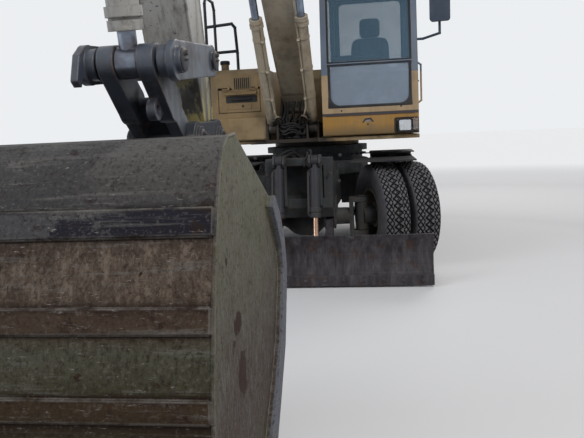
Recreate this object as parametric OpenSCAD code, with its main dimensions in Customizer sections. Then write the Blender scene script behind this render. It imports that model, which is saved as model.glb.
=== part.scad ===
/* [Wheels] */
// Diameter of a tyre over its lugs
tyre_d = 1050; // [960:5:1060]
// Width of a tyre
tyre_w = 270; // [220:5:290]
// Gap between the two tyres of a twin
twin_gap = 44; // [30:2:60]
// Diameter of the rim at the bead seat
rim_d = 524; // [500:2:600]
// Distance of the middle of a twin from the middle of the machine
twin_x = 938; // [930:1:960]
// Front axle ahead of the slewing centre
front_axle = 1500; // [1450:10:1560]
// Rear axle behind the slewing centre
rear_axle = 1100; // [1080:10:1250]
// Distance of a kingpin from the middle of the machine
kingpin_x = 580; // [570:1:600]
// Angle the front wheels are turned to the left as it stands
steer_now = 20; // [0:1:28]

/* [Undercarriage] */
// Width of the chassis beam
chassis_w = 640; // [600:10:660]
// Top of the chassis beam above the ground
chassis_top = 980; // [940:5:1000]
// Underside of the chassis beam above the ground
chassis_low = 610; // [580:5:640]
// Top of the slew ring fixed to the chassis
ring_top = 1232; // [1200:1:1232]
// Width of the dozer blade
blade_w = 2450; // [2200:10:2550]
// Height of the dozer blade
blade_h = 455; // [400:5:520]
// Ground clearance under the dozer blade
blade_lift = 18; // [5:1:60]
// Front face of the dozer blade ahead of the slewing centre
blade_y = 2450; // [2400:10:2600]

/* [Upper structure] */
// Underside of the deck above the ground
deck_z = 1290; // [1280:1:1330]
// Thickness of the deck plate
deck_t = 40; // [30:1:50]
// Half width of the upper structure
upper_x = 1200; // [1180:5:1250]
// Top of the side housings above the ground
house_top = 2070; // [1950:10:2150]
// Radius of the tail
tail_r = 2350; // [2250:10:2500]
// Thickness of the housing walls
wall = 40; // [30:1:50]

/* [Cab] */
// Inner side of the cab from the slewing centre
cab_x0 = 190; // [185:1:200]
// Outer side of the cab from the slewing centre
cab_x1 = 1190; // [1150:5:1195]
// Front of the cab ahead of the slewing centre
cab_front = 1230; // [1200:5:1240]
// Back of the cab behind the slewing centre
cab_back = 480; // [450:5:490]
// Top of the cab walls above the ground
cab_top = 3110; // [2950:10:3200]
// Height of the sill of the front window above the ground
sill_z = 1640; // [1600:5:1700]
// Height at which the windscreen starts to lean back
bend_z = 1980; // [1900:5:2040]
// Distance the top of the windscreen leans back
rake = 160; // [100:5:220]
// Thickness of the cab walls
cab_t = 50; // [40:1:60]

/* [Boom and stick] */
// Side offset of the boom from the slewing centre, to the right
boom_x = 170; // [165:1:180]
// Width of the boom
boom_w = 290; // [260:2:292]
// Width of the stick
stick_w = 220; // [200:2:222]
// Bore of the cylinder barrels of the boom
boom_bore = 120; // [100:2:124]

/* [Bucket] */
// Width of the bucket
bucket_w = 920; // [860:10:1000]
// Thickness of the bucket's plates
bucket_t = 25; // [18:1:32]

/* [Hidden] */
// Distances are millimetres, with y forwards negative and x to the machine's left

// Slewing centre in the part's frame, so that the origin lies under the middle of the machine
slew_x = -83;
slew_y = 2019;
// Running clearance of a pin in its bore
fit = 0.05;
// Side gap between an eye and its ears
ear_gap = 5;
axle_z = tyre_d / 2;
rim_r = rim_d / 2;
spindle_r = 55;
kingpin_r = 30;
fork_in = 146;
fork_out = 196;
deck_top = deck_z + deck_t;

// Pins of the arm as y and z pairs
foot_pin = [-400, 1750];
tip_pin = [-5627, 3618];
bucket_pin = [-4900, 1380];
boom_base_pin = [-900, 1450];
boom_rod_pin = [-2200, 3250];
stick_base_pin = [-2850, 3880];
pin_r = 35;

function len2(v) = sqrt(v[0] * v[0] + v[1] * v[1]);
function unit2(v) = v / len2(v);
function turn2(v, a) = [v[0] * cos(a) - v[1] * sin(a), v[0] * sin(a) + v[1] * cos(a)];
// Point where two circles meet, on the forward side
function meet(p, rp, q, rq) =
    let (d = len2(q - p), a = (rp * rp - rq * rq + d * d) / (2 * d),
         h = sqrt(max(0, rp * rp - a * a)), u = (q - p) / d)
    p + u * a + [u[1], -u[0]] * h;

stick_down = unit2(bucket_pin - tip_pin);
stick_front = [stick_down[1], -stick_down[0]];
stick_l = len2(bucket_pin - tip_pin);
// Point on the stick from its distance down from the boom and its distance to the front
function on_stick(s, n) = tip_pin + stick_down * s + stick_front * n;
lever_r = 650;
lever_tilt = 32;
stick_rod_pin = on_stick(-lever_r * cos(lever_tilt), lever_r * sin(lever_tilt));
bucket_base_s = 420;
bucket_base_n = 400;
bucket_base_pin = on_stick(bucket_base_s, bucket_base_n);
rocker_up = 400;
rocker_n = 72;
rocker_pin = on_stick(stick_l - rocker_up, rocker_n);
rocker_l = 540;
link_l = 480;
ear_l = 360;
link_pin = bucket_pin + [-ear_l, 0];
joint_pin = meet(rocker_pin, rocker_l, link_pin, link_l);

// Lengths of the barrels from the base pin to the gland, and their outer radii
boom_barrel_l = 1320;
boom_barrel_r = boom_bore / 2;
stick_barrel_l = 1900;
stick_barrel_r = 72;
bucket_barrel_l = 1310;
bucket_barrel_r = 62;
// Distance of each rod's inner end from the base pin
boom_rod_start = 620;
stick_rod_start = 1330;
bucket_rod_start = 300;
blade_rod_start = 338;
rod_gap = 2;
boom_cyl_x = boom_w / 2 + 80;
ear_t = 22;
// Radii of the rods, and the width of an eye on a rod of that radius
boom_rod_r = 38;
stick_rod_r = 42;
bucket_rod_r = 36;
blade_rod_r = 26;
function eye_w(r) = 2 * r + 10;

// Blade linkage pins
blade_pivot = [-1760, 500];
blade_top_pin = [-2060, 1130];
blade_low_pin = [-2240, 285];
blade_cyl_x = 170;
blade_arm_x = 275;
blade_barrel_l = 540;
blade_barrel_r = 46;

// Moves a piece given from the slewing centre into the part's frame
module place() translate([slew_x, slew_y, 0]) children();

// Extrudes a y and z outline along x, centred on x
module side(w, x = 0) translate([x, 0, 0]) rotate([90, 0, 90])
    linear_extrude(w, center = true) children();

// Cylinder along x through a y and z point
module across(p, r, w, x = 0) translate([x, p[0], p[1]]) rotate([0, 90, 0])
    cylinder(r = r, h = w, center = true, $fn = 48);

// Puts a piece drawn upwards from the origin on the line from one y and z point to another
module along(p, q, x = 0) translate([x, p[0], p[1]])
    rotate([atan2(-(q[0] - p[0]), q[1] - p[1]), 0, 0]) children();

// Round bar from one point to another
module bar(p, q, r) {
    v = q - p;
    l = norm(v);
    translate(p) rotate([0, acos(v[2] / l), atan2(v[1], v[0])]) cylinder(r = r, h = l, $fn = 24);
}

// Pipe through a list of points
module pipe(points, r) {
    for (i = [0 : len(points) - 2]) bar(points[i], points[i + 1], r);
    if (len(points) > 2) for (i = [1 : len(points) - 2]) translate(points[i]) sphere(r = r * 1.12, $fn = 24);
}

// Box with its upright edges rounded
module slab(x0, x1, y0, y1, z0, z1, r = 20) translate([0, 0, z0]) linear_extrude(z1 - z0)
    offset(r = r) offset(delta = -r) polygon([[x0, y0], [x1, y0], [x1, y1], [x0, y1]]);

// Plain box from two corners
module block(x0, x1, y0, y1, z0, z1) translate([x0, y0, z0]) cube([x1 - x0, y1 - y0, z1 - z0]);

// Outline rounded at all its corners
module soft(r) offset(r = r) offset(delta = -r) children();

// Bar outline between two points with round ends
module strap(p, q, rp, rq) {
    u = unit2(q - p);
    n = [u[1], -u[0]];
    polygon([p + n * (rp - 2), q + n * (rq - 2), q - n * (rq - 2), p - n * (rp - 2)]);
    translate(p) circle(r = rp, $fn = 48);
    translate(q) circle(r = rq, $fn = 48);
}

// Undercarriage

module chassis_beam() side(chassis_w) polygon([
    [-1950, chassis_low + 60], [-1880, chassis_low - 40], [-1730, chassis_low - 40], [-1700, 740],
    [-front_axle + 250, 740], [-front_axle + 300, chassis_low], [rear_axle - 270, chassis_low],
    [rear_axle - 220, 740], [rear_axle + 220, 740], [rear_axle + 270, chassis_low + 40],
    [1700, chassis_low + 80], [1700, chassis_top], [-1500, chassis_top], [-1760, 1150], [-1950, 1150]]);

module chassis() color("#3a4238") place() {
    difference() {
        union() {
            chassis_beam();
            translate([0, 0, chassis_top - 60]) linear_extrude(130) polygon([
                [-chassis_w / 2, -980], [-560, -640], [-620, -300], [-620, 300], [-560, 640],
                [-chassis_w / 2, 980], [chassis_w / 2, 980], [560, 640], [620, 300], [620, -300],
                [560, -640], [chassis_w / 2, -980]]);
            translate([0, 0, chassis_top + 60]) cylinder(r = 560, h = 130, $fn = 96);
            translate([0, 0, ring_top - 70]) cylinder(r = 620, h = 70, $fn = 96);
            // Ears of the two blade cylinders
            for (s = [-1, 1], e = [-1, 1])
                side(22, s * blade_cyl_x + e * (eye_w(blade_rod_r) / 2 + ear_gap + 11))
                    polygon([[-1955, 640], [-1955, 1180], [-2060, 1185], [-2105, 1160], [-2115, 1110],
                             [-2090, 1075], [-2010, 1085], [-2010, 700]]);
            // Lugs of the blade arms
            for (s = [-1, 1], e = [-1, 1])
                side(14, s * blade_arm_x + e * (35 + ear_gap + 7))
                    polygon([[-1840, 640], [-1830, 470], [-1800, 440], [-1720, 440], [-1690, 470], [-1690, 640]]);
            for (s = [-1, 1]) {
                across(blade_top_pin, 28, 2 * (eye_w(blade_rod_r) / 2 + ear_gap + 30), s * blade_cyl_x);
                across(blade_pivot, 30, 2 * (35 + ear_gap + 20), s * blade_arm_x);
            }
        }
        // Window in the front of the frame
        side(chassis_w - 160) polygon([[-1960, 760], [-1960, 1080], [-1700, 1060], [-1700, 800]]);
    }
}

// Beam of an axle with its differential, drawn about its own middle
module axle_beam(reach) {
    for (s = [-1, 1]) rotate([0, s * 90, 0]) rotate_extrude($fn = 64)
        polygon([[0, 0], [190, 0], [190, 60], [165, 130], [110, 190], [88, 230], [80, reach], [0, reach]]);
    translate([0, 0, 120]) for (s = [-1, 1]) block(s * 290 - 40, s * 290 + 40, -110, 110, -80, 740 - axle_z - 120);
}

module front_axle() color("#33393a") place() translate([0, -front_axle, axle_z]) {
    axle_beam(kingpin_x - 100);
    for (s = [-1, 1]) difference() {
        union() {
            translate([s * (kingpin_x - 105), 0, 0]) cube([40, 150, 2 * fork_out], center = true);
            for (e = [-1, 1]) translate([0, 0, e * (fork_in + fork_out) / 2]) {
                translate([s * (kingpin_x - 62), 0, 0]) cube([125, 130, fork_out - fork_in], center = true);
                translate([s * kingpin_x, 0, 0]) cylinder(r = 65, h = fork_out - fork_in, center = true, $fn = 64);
            }
        }
        translate([s * kingpin_x, 0, 0]) cylinder(r = kingpin_r + fit, h = 3 * fork_out, center = true, $fn = 48);
    }
    // Steering cylinder across the back of the axle, with the bracket that carries it
    difference() {
        union() {
            translate([0, tie_y, tie_z]) rotate([0, 90, 0]) cylinder(r = 44, h = 420, center = true, $fn = 48);
            for (s = [-1, 1]) block(s * 150 - 20, s * 150 + 20, 60, tie_y, tie_z - 30, tie_z + 40);
            // Nose that takes the drive shaft
            translate([0, 60, shaft_z]) rotate([-90, 0, 0]) cylinder(r = 68, h = nose_y - 60, $fn = 48);
        }
        translate([0, tie_y, tie_z]) rotate([0, 90, 0]) cylinder(r = tie_r + fit, h = 600, center = true, $fn = 48);
    }
}

// The steering rod slides across the back of the front axle
tie_y = 236;
tie_z = 42;
tie_r = 20;
steer_arm = 250;
// Height of the drive shaft below the axles and the end of the nose on the front axle
shaft_z = -85;
nose_y = 215;
module tie_rod() color("#9aa0a3") place() translate([0, -front_axle, axle_z]) {
    shift = -steer_arm * sin(steer_now);
    translate([shift, tie_y, tie_z]) rotate([0, 90, 0]) cylinder(r = tie_r, h = 2 * kingpin_x - 60, center = true, $fn = 48);
    for (s = [-1, 1]) translate([shift + s * kingpin_x, tie_y, tie_z]) cylinder(r = 34, h = 44, center = true, $fn = 48);
}

module knuckle(s) place() translate([s * kingpin_x, -front_axle, axle_z]) rotate([0, 0, steer_now]) {
    cylinder(r = 62, h = 2 * fork_in - 2 * ear_gap, center = true, $fn = 64);
    cylinder(r = kingpin_r, h = 2 * fork_out + 16, center = true, $fn = 48);
    for (e = [-1, 1]) translate([0, 0, e * (fork_out + 8)]) cylinder(r = 46, h = 10, center = true, $fn = 48);
    rotate([0, s * 90, 0]) {
        cylinder(r = 95, h = twin_x - kingpin_x - hub_in - ear_gap, $fn = 64);
        cylinder(r = spindle_r, h = twin_x - kingpin_x - 40, $fn = 64);
    }
    // Steering arm below the rod's eye
    translate([0, 0, tie_z - 22 - ear_gap - 30]) linear_extrude(30) {
        polygon([[-40, 30], [40, 30], [26, steer_arm], [-26, steer_arm]]);
        translate([0, steer_arm]) circle(r = 30, $fn = 48);
    }
}

module knuckle_left() color("#33393a") knuckle(1);
module knuckle_right() color("#33393a") knuckle(-1);

module rear_axle_body() color("#33393a") place() translate([0, rear_axle, axle_z]) {
    axle_beam(520);
    for (s = [-1, 1]) rotate([0, s * 90, 0]) {
        translate([0, 0, 500]) cylinder(r = 120, h = 120, $fn = 64);
        cylinder(r = 95, h = twin_x - hub_in - ear_gap, $fn = 64);
        cylinder(r = spindle_r, h = twin_x - 40, $fn = 64);
    }
    // Gearbox and travel motor on the front of the axle
    block(-130, 130, -420, -150, -120, 70);
    rotate([90, 0, 0]) translate([0, shaft_z, 420]) cylinder(r = 70, h = 90, $fn = 48);
}

module drive_shaft() color("#4a4a46") place() translate([0, 0, axle_z]) {
    y0 = -front_axle + nose_y;
    y1 = rear_axle - 510;
    translate([0, y0, shaft_z]) rotate([-90, 0, 0]) {
        cylinder(r = 55, h = 40, $fn = 48);
        cylinder(r = 34, h = y1 - y0, $fn = 48);
        translate([0, 0, y1 - y0 - 40]) cylinder(r = 55, h = 40, $fn = 48);
    }
}

// Storage boxes with steps between the axles, one on each side
module step_boxes() color("#4a4f45") place() for (s = [-1, 1]) scale([1, 1, 1]) {
    x0 = chassis_w / 2;
    side(1080 - x0, s * (x0 + 1080) / 2) polygon([
        [-640, 640], [-560, 560], [460, 560], [520, 640], [520, 915], [-640, 915]]);
    // Step below the box on its hangers
    block(s * 1010 - 110, s * 1010 + 110, -380, 260, 400, 425);
    for (y = [-360, 240]) block(s * 920 - 12, s * 920 + 12, y - 25, y + 25, 425, 560);
    // Upper tread on the box
    block(s * 1130 - 50, s * 1130 + 50, -420, 300, 700, 720);
}

// Mudguards over the tyres, on brackets that stand on the chassis
module mudguards() color("#2b2d2c") place() {
    z0 = tyre_d + 34;
    for (s = [-1, 1]) {
        side(640, s * 810) polygon([
            [-1760, z0 - 6], [-1760, z0 + 8], [-960, z0 + 8], [-960, z0 - 6]]);
        side(600, s * 930) polygon([
            [rear_axle - 430, z0 - 6], [rear_axle - 430, z0 + 8], [rear_axle + 470, z0 + 8],
            [rear_axle + 640, z0 - 250], [rear_axle + 628, z0 - 256], [rear_axle + 462, z0 - 6]]);
        for (y = [-1150, rear_axle + 30]) {
            block(s * (chassis_w / 2 - 25) - 25, s * (chassis_w / 2 - 25) + 25, y, y + 60, chassis_top, z0 - 6);
            block(s * 480 - 190, s * 480 + 190, y, y + 60, z0 - 20, z0 - 6);
        }
    }
}

// Half width of the bead seat and the inner end of a hub, from the middle of a twin
bead_w = 104;
hub_in = 226;

// Section of a tyre as radius and width, outside first, then the inside back
function tyre_outline(r0, r1, w) = [
    [r0, -bead_w], [r0 + 27, -bead_w], [r0 + 45, -bead_w - 15], [r0 + 0.45 * (r1 - r0), -w / 2], [r1 - 62, -w / 2 + 3],
    [r1 - 22, -w / 2 + 16], [r1 - 5, -w / 2 + 34], [r1, -w / 2 + 60], [r1, w / 2 - 60],
    [r1 - 5, w / 2 - 34], [r1 - 22, w / 2 - 16], [r1 - 62, w / 2 - 3], [r0 + 0.45 * (r1 - r0), w / 2],
    [r0 + 45, bead_w + 15], [r0 + 27, bead_w], [r0, bead_w],
    [r0, bead_w - 26], [r0 + 40, bead_w - 12], [r0 + 0.5 * (r1 - r0), w / 2 - 22], [r1 - 60, w / 2 - 24],
    [r1 - 34, w / 2 - 60], [r1 - 34, -w / 2 + 60], [r1 - 60, -w / 2 + 24], [r0 + 0.5 * (r1 - r0), -w / 2 + 22],
    [r0 + 40, -bead_w + 12], [r0, -bead_w + 26]];

module tyre_pair() for (s = [-1, 1]) translate([s * (tyre_w + twin_gap) / 2, 0, 0]) rotate([0, 90, 0])
    rotate_extrude($fn = 96) polygon(tyre_outline(rim_r, tyre_d / 2, tyre_w));

// Rims of a twin with their disc and hub, the outer side towards plus x
module rim_pair() rotate([0, 90, 0]) {
    c = (tyre_w + twin_gap) / 2;
    b = bead_w + 0.3;
    difference() {
        rotate_extrude($fn = 96) polygon([
            [spindle_r + fit, -hub_in], [125, -hub_in], [135, -150], [135, -8], [rim_r - 14, -8],
            [rim_r - 14, -c - b - 10], [rim_r + 24, -c - b - 10], [rim_r + 24, -c - b], [rim_r - 0.3, -c - b],
            [rim_r - 0.3, -c + b], [rim_r + 24, -c + b], [rim_r + 24, -c + b + 10], [rim_r - 0.3, -c + b + 10],
            [rim_r - 0.3, c - b - 10], [rim_r + 24, c - b - 10], [rim_r + 24, c - b], [rim_r - 0.3, c - b],
            [rim_r - 0.3, c + b], [rim_r + 24, c + b], [rim_r + 24, c + b + 10], [rim_r - 14, c + b + 10],
            [rim_r - 14, 10], [150, 10], [146, 110], [128, 130], [120, 175], [90, 190], [0, 190],
            [0, -35], [spindle_r + fit, -35]]);
        for (i = [0 : 7]) rotate([0, 0, i * 45]) translate([195, 0, -20]) cylinder(r = 24, h = 40, $fn = 32);
    }
}

module wheel_place(s, y) place() {
    if (y < 0)
        translate([s * kingpin_x, y, axle_z]) rotate([0, 0, steer_now]) translate([s * (twin_x - kingpin_x), 0, 0])
            mirror([s < 0 ? 1 : 0, 0, 0]) children();
    else
        translate([s * twin_x, y, axle_z]) mirror([s < 0 ? 1 : 0, 0, 0]) children();
}

module tyres_front_left() color("#26282a") wheel_place(1, -front_axle) tyre_pair();
module rims_front_left() color("#6d6a62") wheel_place(1, -front_axle) rim_pair();
module tyres_front_right() color("#26282a") wheel_place(-1, -front_axle) tyre_pair();
module rims_front_right() color("#6d6a62") wheel_place(-1, -front_axle) rim_pair();
module tyres_rear_left() color("#26282a") wheel_place(1, rear_axle) tyre_pair();
module rims_rear_left() color("#6d6a62") wheel_place(1, rear_axle) rim_pair();
module tyres_rear_right() color("#26282a") wheel_place(-1, rear_axle) tyre_pair();
module rims_rear_right() color("#6d6a62") wheel_place(-1, rear_axle) rim_pair();

// Dozer blade

// Face of the mouldboard at a height share from the bottom to the top, hollow towards the front
function board_y(t) = -blade_y + 70 * (1 - pow(2 * t - 1, 2)) - 12 * t;
module blade() color("#6b5f52") place() {
    z0 = blade_lift;
    n = 8;
    front = [for (i = [0 : n]) [board_y(i / n), z0 + blade_h * i / n]];
    back = [for (i = [n : -1 : 0]) [board_y(i / n) + 22, z0 + blade_h * i / n]];
    difference() {
        side(blade_w) polygon(concat(front, back));
        // Notch in the top edge
        block(460, 530, -blade_y - 50, -blade_y + 80, z0 + blade_h - 30, z0 + blade_h + 10);
    }
    // Cutting edge bolted to the foot of the board
    block(-blade_w / 2, blade_w / 2, -blade_y - 18, -blade_y + 1, z0, z0 + 95);
    // Ribs and the cross tube behind the board
    for (x = [-1, 1], d = [45, 465]) side(16, x * (blade_w / 2 - d)) polygon([
        [board_y(0.1) + 20, z0 + 50], [board_y(0.5) + 20, z0 + blade_h / 2], [board_y(0.95) + 20, z0 + blade_h - 25],
        [-blade_y + 120, z0 + 300], [-blade_y + 150, z0 + 90]]);
    side(blade_w - 60) polygon([[board_y(0.4) + 18, z0 + 140], [board_y(0.6) + 18, z0 + 270],
        [-blade_y + 148, z0 + 270], [-blade_y + 148, z0 + 140]]);
    // Arms to the pivot under the chassis
    for (s = [-1, 1]) side(70, s * blade_arm_x) difference() {
        union() {
            polygon([[-blade_y + 140, z0 + 262], [-blade_y + 140, z0 + 148], [-2050, 250], [-1790, 440], [-1720, 540], [-1800, 556], [-2100, 400]]);
            translate(blade_pivot) circle(r = 58, $fn = 48);
        }
        translate(blade_pivot) circle(r = 30 + fit, $fn = 48);
    }
    // Ears that hold the lower eyes of the blade cylinders
    for (s = [-1, 1], e = [-1, 1]) side(18, s * blade_cyl_x + e * (eye_w(blade_rod_r) / 2 + ear_gap + 9))
        polygon([[-blade_y + 140, z0 + 150], [-2200, z0 + 190], [-2185, 300], [-2205, 335], [-2280, 335], [-blade_y + 140, z0 + 268]]);
    for (s = [-1, 1], e = [-1, 1]) {
        across(blade_low_pin, 34, 14, s * blade_cyl_x + e * (eye_w(blade_rod_r) / 2 + ear_gap + 18 + 7));
        // Washer between the ear and the eye
        across(blade_low_pin, 36, ear_gap + 1 - leaf_gap, s * blade_cyl_x + e * (eye_w(blade_rod_r) / 2 + (ear_gap + 1 + leaf_gap) / 2));
    }
}

module blade_barrels() color("#4b4f45") place() for (s = [-1, 1]) {
    x = s * blade_cyl_x;
    barrel(blade_top_pin, blade_low_pin, x, blade_barrel_l, blade_barrel_r, blade_rod_r, 28 + fit, 50);
    // Oil pipe beside the barrel
    along(blade_top_pin, blade_low_pin, x) {
        translate([-blade_barrel_r - 14, 0, 110]) cylinder(r = 9, h = blade_barrel_l - 160, $fn = 24);
        for (z = [130, blade_barrel_l - 90]) translate([-blade_barrel_r - 14, -9, z - 9]) cube([24, 18, 18]);
    }
}

module blade_rods() color("#c9c6bd") place() for (s = [-1, 1]) {
    x = s * blade_cyl_x;
    l = len2(blade_low_pin - blade_top_pin);
    along(blade_top_pin, blade_low_pin, x) translate([0, 0, blade_rod_start]) cylinder(r = blade_rod_r, h = l - blade_rod_start - 20, $fn = 48);
    across(blade_low_pin, 44, eye_w(blade_rod_r), x);
}

// Upper structure

// Inner face of the boom's foot plates from the boom's middle, and the radius of the foot pin
plate_x = boom_w / 2 + 10;
foot_r = 45;
module deck() color("#b9903a") place() {
    translate([0, 0, deck_z]) linear_extrude(deck_t) polygon([
        [-upper_x + 20, -880], [-boom_x - 300, -880], [-boom_x - 300, -1000], [130, -1000], [130, -1190],
        [cab_x1 - 30, -1190], [upper_x, -1100], [upper_x, 1700], [-upper_x, 1700], [-upper_x, -860]]);
    translate([0, 0, ring_top + 5]) cylinder(r = 520, h = deck_z - ring_top - 5, $fn = 96);
    // Race of the slewing ring, on the ring of the chassis
    translate([0, 0, ring_top + leaf_gap]) cylinder(r = 440, h = 20, $fn = 96);
    // Plates that carry the boom foot, with the inner ears of the boom cylinders
    for (s = [-1, 1]) side(ear_t, -boom_x + s * (plate_x + ear_t / 2)) {
        polygon([[-1000, deck_top - 1], [-990, 1480], [-900, 1526], [-820, 1500], [-700, 1560],
                 [-530, 1830], [-270, 1830], [-60, 1620], [420, 1500], [860, 1480], [860, deck_top - 1]]);
        translate(foot_pin) circle(r = 150, $fn = 64);
        translate(boom_base_pin) circle(r = 78, $fn = 48);
    }
    across(foot_pin, foot_r, 2 * (plate_x + ear_t) + 24, -boom_x);
    // Outer ears of the boom cylinders
    for (s = [-1, 1]) side(ear_t, -boom_x + s * (boom_cyl_x + eye_w(boom_rod_r) / 2 + ear_gap + ear_t / 2)) {
        polygon([[-980, deck_top - 1], [-975, 1450], [-825, 1450], [-780, deck_top - 1]]);
        translate(boom_base_pin) circle(r = 75, $fn = 48);
    }
    for (s = [-1, 1]) across(boom_base_pin, pin_r, eye_w(boom_rod_r) + 2 * ear_gap + 2 * ear_t, -boom_x + s * boom_cyl_x);
    // Cross plates between the two boom plates
    block(-boom_x - plate_x - 1, -boom_x + plate_x + 1, -760, -735, deck_top - 1, 1440);
    block(-boom_x - plate_x - 1, -boom_x + plate_x + 1, 300, 330, deck_top - 1, 1470);
}

module tail_outline(x, r, y0) intersection() {
    circle(r = r, $fn = 96);
    polygon([[-x, y0], [x, y0], [x, r + 10], [-x, r + 10]]);
}

// Joint between the engine bay and the counterweight
bay_back = 1720;
module counterweight() color("#a58c48") place() {
    y0 = bay_back;
    translate([0, 0, deck_z - 40]) linear_extrude(house_top + 40 - deck_z) difference() {
        tail_outline(upper_x - 10, tail_r, y0);
        // Recess at the engine side
        polygon([[-700, y0 - 10], [700, y0 - 10], [620, y0 + 90], [-620, y0 + 90]]);
    }
    translate([0, 0, house_top - 1]) linear_extrude(46) offset(delta = -50) tail_outline(upper_x - 10, tail_r, y0);
}

// Walls round the engine and the coolers behind the cab and the tanks
module engine_bay() color("#b8963f") place() {
    difference() {
        translate([0, 0, deck_top]) linear_extrude(house_top - deck_top) difference() {
            polygon([[-upper_x, 520], [upper_x, 520], [upper_x, bay_back], [-upper_x, bay_back]]);
            polygon([[-upper_x + wall, 520 + wall], [upper_x - wall, 520 + wall],
                     [upper_x - wall, bay_back - wall], [-upper_x + wall, bay_back - wall]]);
        }
        // Opening of the left service door
        block(upper_x - wall - 10, upper_x + 10, 640, 1480, deck_top + 60, house_top - 80);
        // Air slots of the right side
        for (i = [0 : 9]) block(-upper_x - 10, -upper_x + wall + 10, 700 + i * 70, 730 + i * 70, 1560, 1920);
        // Slot in the front wall over the boom frame for the hoses
        block(-boom_x - 200, -boom_x + 200, 500, 570, deck_top - 1, 1520);
    }
    for (s = [-1, 1], e = [-1, 1]) translate([s * 800 + e * (80 + leaf_gap + 25), 0, 0]) {
        across(hood_hinge, 14, 50);
        block(-25, 25, hood_hinge[0] - 14, hood_hinge[0] + 8, house_top - 1, hood_hinge[1]);
    }
    for (z = door_knuckles) {
        translate([side_hinge[0], side_hinge[1], z + 30 + leaf_gap]) cylinder(r = 12, h = 40, $fn = 32);
        block(upper_x - 1, upper_x + 6, side_hinge[1], side_hinge[1] + 50, z + 30 + leaf_gap, z + 70 + leaf_gap);
    }
}
// Axis of the left service door's hinge and the heights of its knuckles
side_hinge = [upper_x + 12, 1479];
door_knuckles = [1480, 1860];

module engine() color("#5a5f60") place() block(-560, 420, 900, 1500, deck_top, 1960);

// Engine hood with its raised middle and the exhaust stub
module hood() color("#b8963f") place() {
    z = house_top + 6;
    difference() {
        union() {
            block(-upper_x + 10, upper_x - 10, hood_hinge[0] + 18, 1700, z, z + 30);
            side(1500) polygon([[640, z + 10], [640, z + 29], [700, z + 150], [1560, z + 150], [1660, z + 29], [1660, z + 10]]);
        }
        side(1440) polygon([[670, z - 10], [670, z + 28], [722, z + 125], [1540, z + 125], [1630, z + 28], [1630, z - 10]]);
        for (i = [0 : 11]) block(-560 + i * 95, -520 + i * 95, 820, 1420, z + 100, z + 200);
    }
    translate([-480, 1600, z + 70]) difference() {
        cylinder(r = 60, h = 280, $fn = 48);
        translate([0, 0, 40]) cylinder(r = 54, h = 300, $fn = 48);
    }
    for (s = [-1, 1]) {
        across(hood_hinge, 14, 160, s * 800);
        block(s * 800 - 60, s * 800 + 60, hood_hinge[0], hood_hinge[0] + 30, z + 8, z + 24);
    }
}
// Axis of the engine hood's hinge, and the gap between the knuckles of a hinge
hood_hinge = [548, house_top + 22];
leaf_gap = 0.3;

module left_door() color("#b8963f") place() {
    difference() {
        block(upper_x - wall, upper_x, 646, 1474, deck_top + 66, house_top - 86);
        for (i = [0 : 9]) block(upper_x - 12, upper_x + 5, 760 + i * 62, 790 + i * 62, 1560, 1880);
        block(upper_x - 18, upper_x + 5, 680, 730, 1660, 1740);
    }
    for (z = door_knuckles) {
        translate([side_hinge[0], side_hinge[1], z]) cylinder(r = 12, h = 60, center = true, $fn = 32);
        block(upper_x - 1, upper_x + 6, side_hinge[1] - 60, side_hinge[1], z - 30, z + 30);
    }
}

// Tanks and tool box at the right front, with a rounded upper front edge
box_x0 = -upper_x + 100;
box_x1 = -boom_x - 305;
box_y0 = -860;
box_lid_z = [1650, 1930];
module right_box() color("#c2a55a") place() {
    right_housing();
    for (x = lid_knuckles) {
        across(lid_hinge, 9, 30, x + 30 + leaf_gap + 15);
        block(x + 30 + leaf_gap, x + 60 + leaf_gap, lid_hinge[0], box_y0 + 1, lid_hinge[1], lid_hinge[1] + 40);
    }
}
module right_housing() difference() {
    union() {
        side(box_x1 - box_x0, (box_x0 + box_x1) / 2) soft(45) polygon([
            [box_y0, deck_top - 0], [box_y0, 2070], [box_y0 + 90, 2140], [480, 2140], [480, deck_top]]);
        // Lower nose with the headlamp
        side(box_x1 - box_x0 + 40, (box_x0 + box_x1) / 2 - 20) soft(25) polygon([
            [box_y0 - 60, deck_top], [box_y0 - 60, 1590], [box_y0 + 200, 1610], [box_y0 + 200, deck_top]]);
        // Filler pipe
        translate([box_x0 + 140, box_y0 + 180, 2100]) cylinder(r = 45, h = 110, $fn = 48);
        // Side tank beside the box
        slab(-upper_x, box_x0 + 10, -560, 470, deck_top, 2020, 30);
    }
    // Tool space behind the lid
    block(box_x0 + 80, box_x1 - 60, box_y0 - 10, box_y0 + 300, box_lid_z[0], box_lid_z[1]);
    // Vent slots over the lid
    for (i = [0 : 4]) block(box_x0 + 250 + i * 30, box_x0 + 266 + i * 30, box_y0 - 10, box_y0 + 40, 1965, 2050);
}
// Middles of the lid's knuckles along x
lid_knuckles = [box_x0 + 160, box_x1 - 140];

lid_hinge = [box_y0 - 8, box_lid_z[1] - 18];
module box_lid() color("#c2a55a") place() {
    difference() {
        block(box_x0 + 86, box_x1 - 66, box_y0 + 2, box_y0 + 30, box_lid_z[0] + 6, box_lid_z[1] - 22);
        block(box_x0 + 200, box_x1 - 180, box_y0 - 10, box_y0 + 14, 1700, 1730);
    }
    for (x = lid_knuckles) {
        across(lid_hinge, 9, 60, x);
        block(x - 30, x + 30, lid_hinge[0], box_y0 + 4, lid_hinge[1] - 20, lid_hinge[1]);
    }
}

// Cab

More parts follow.
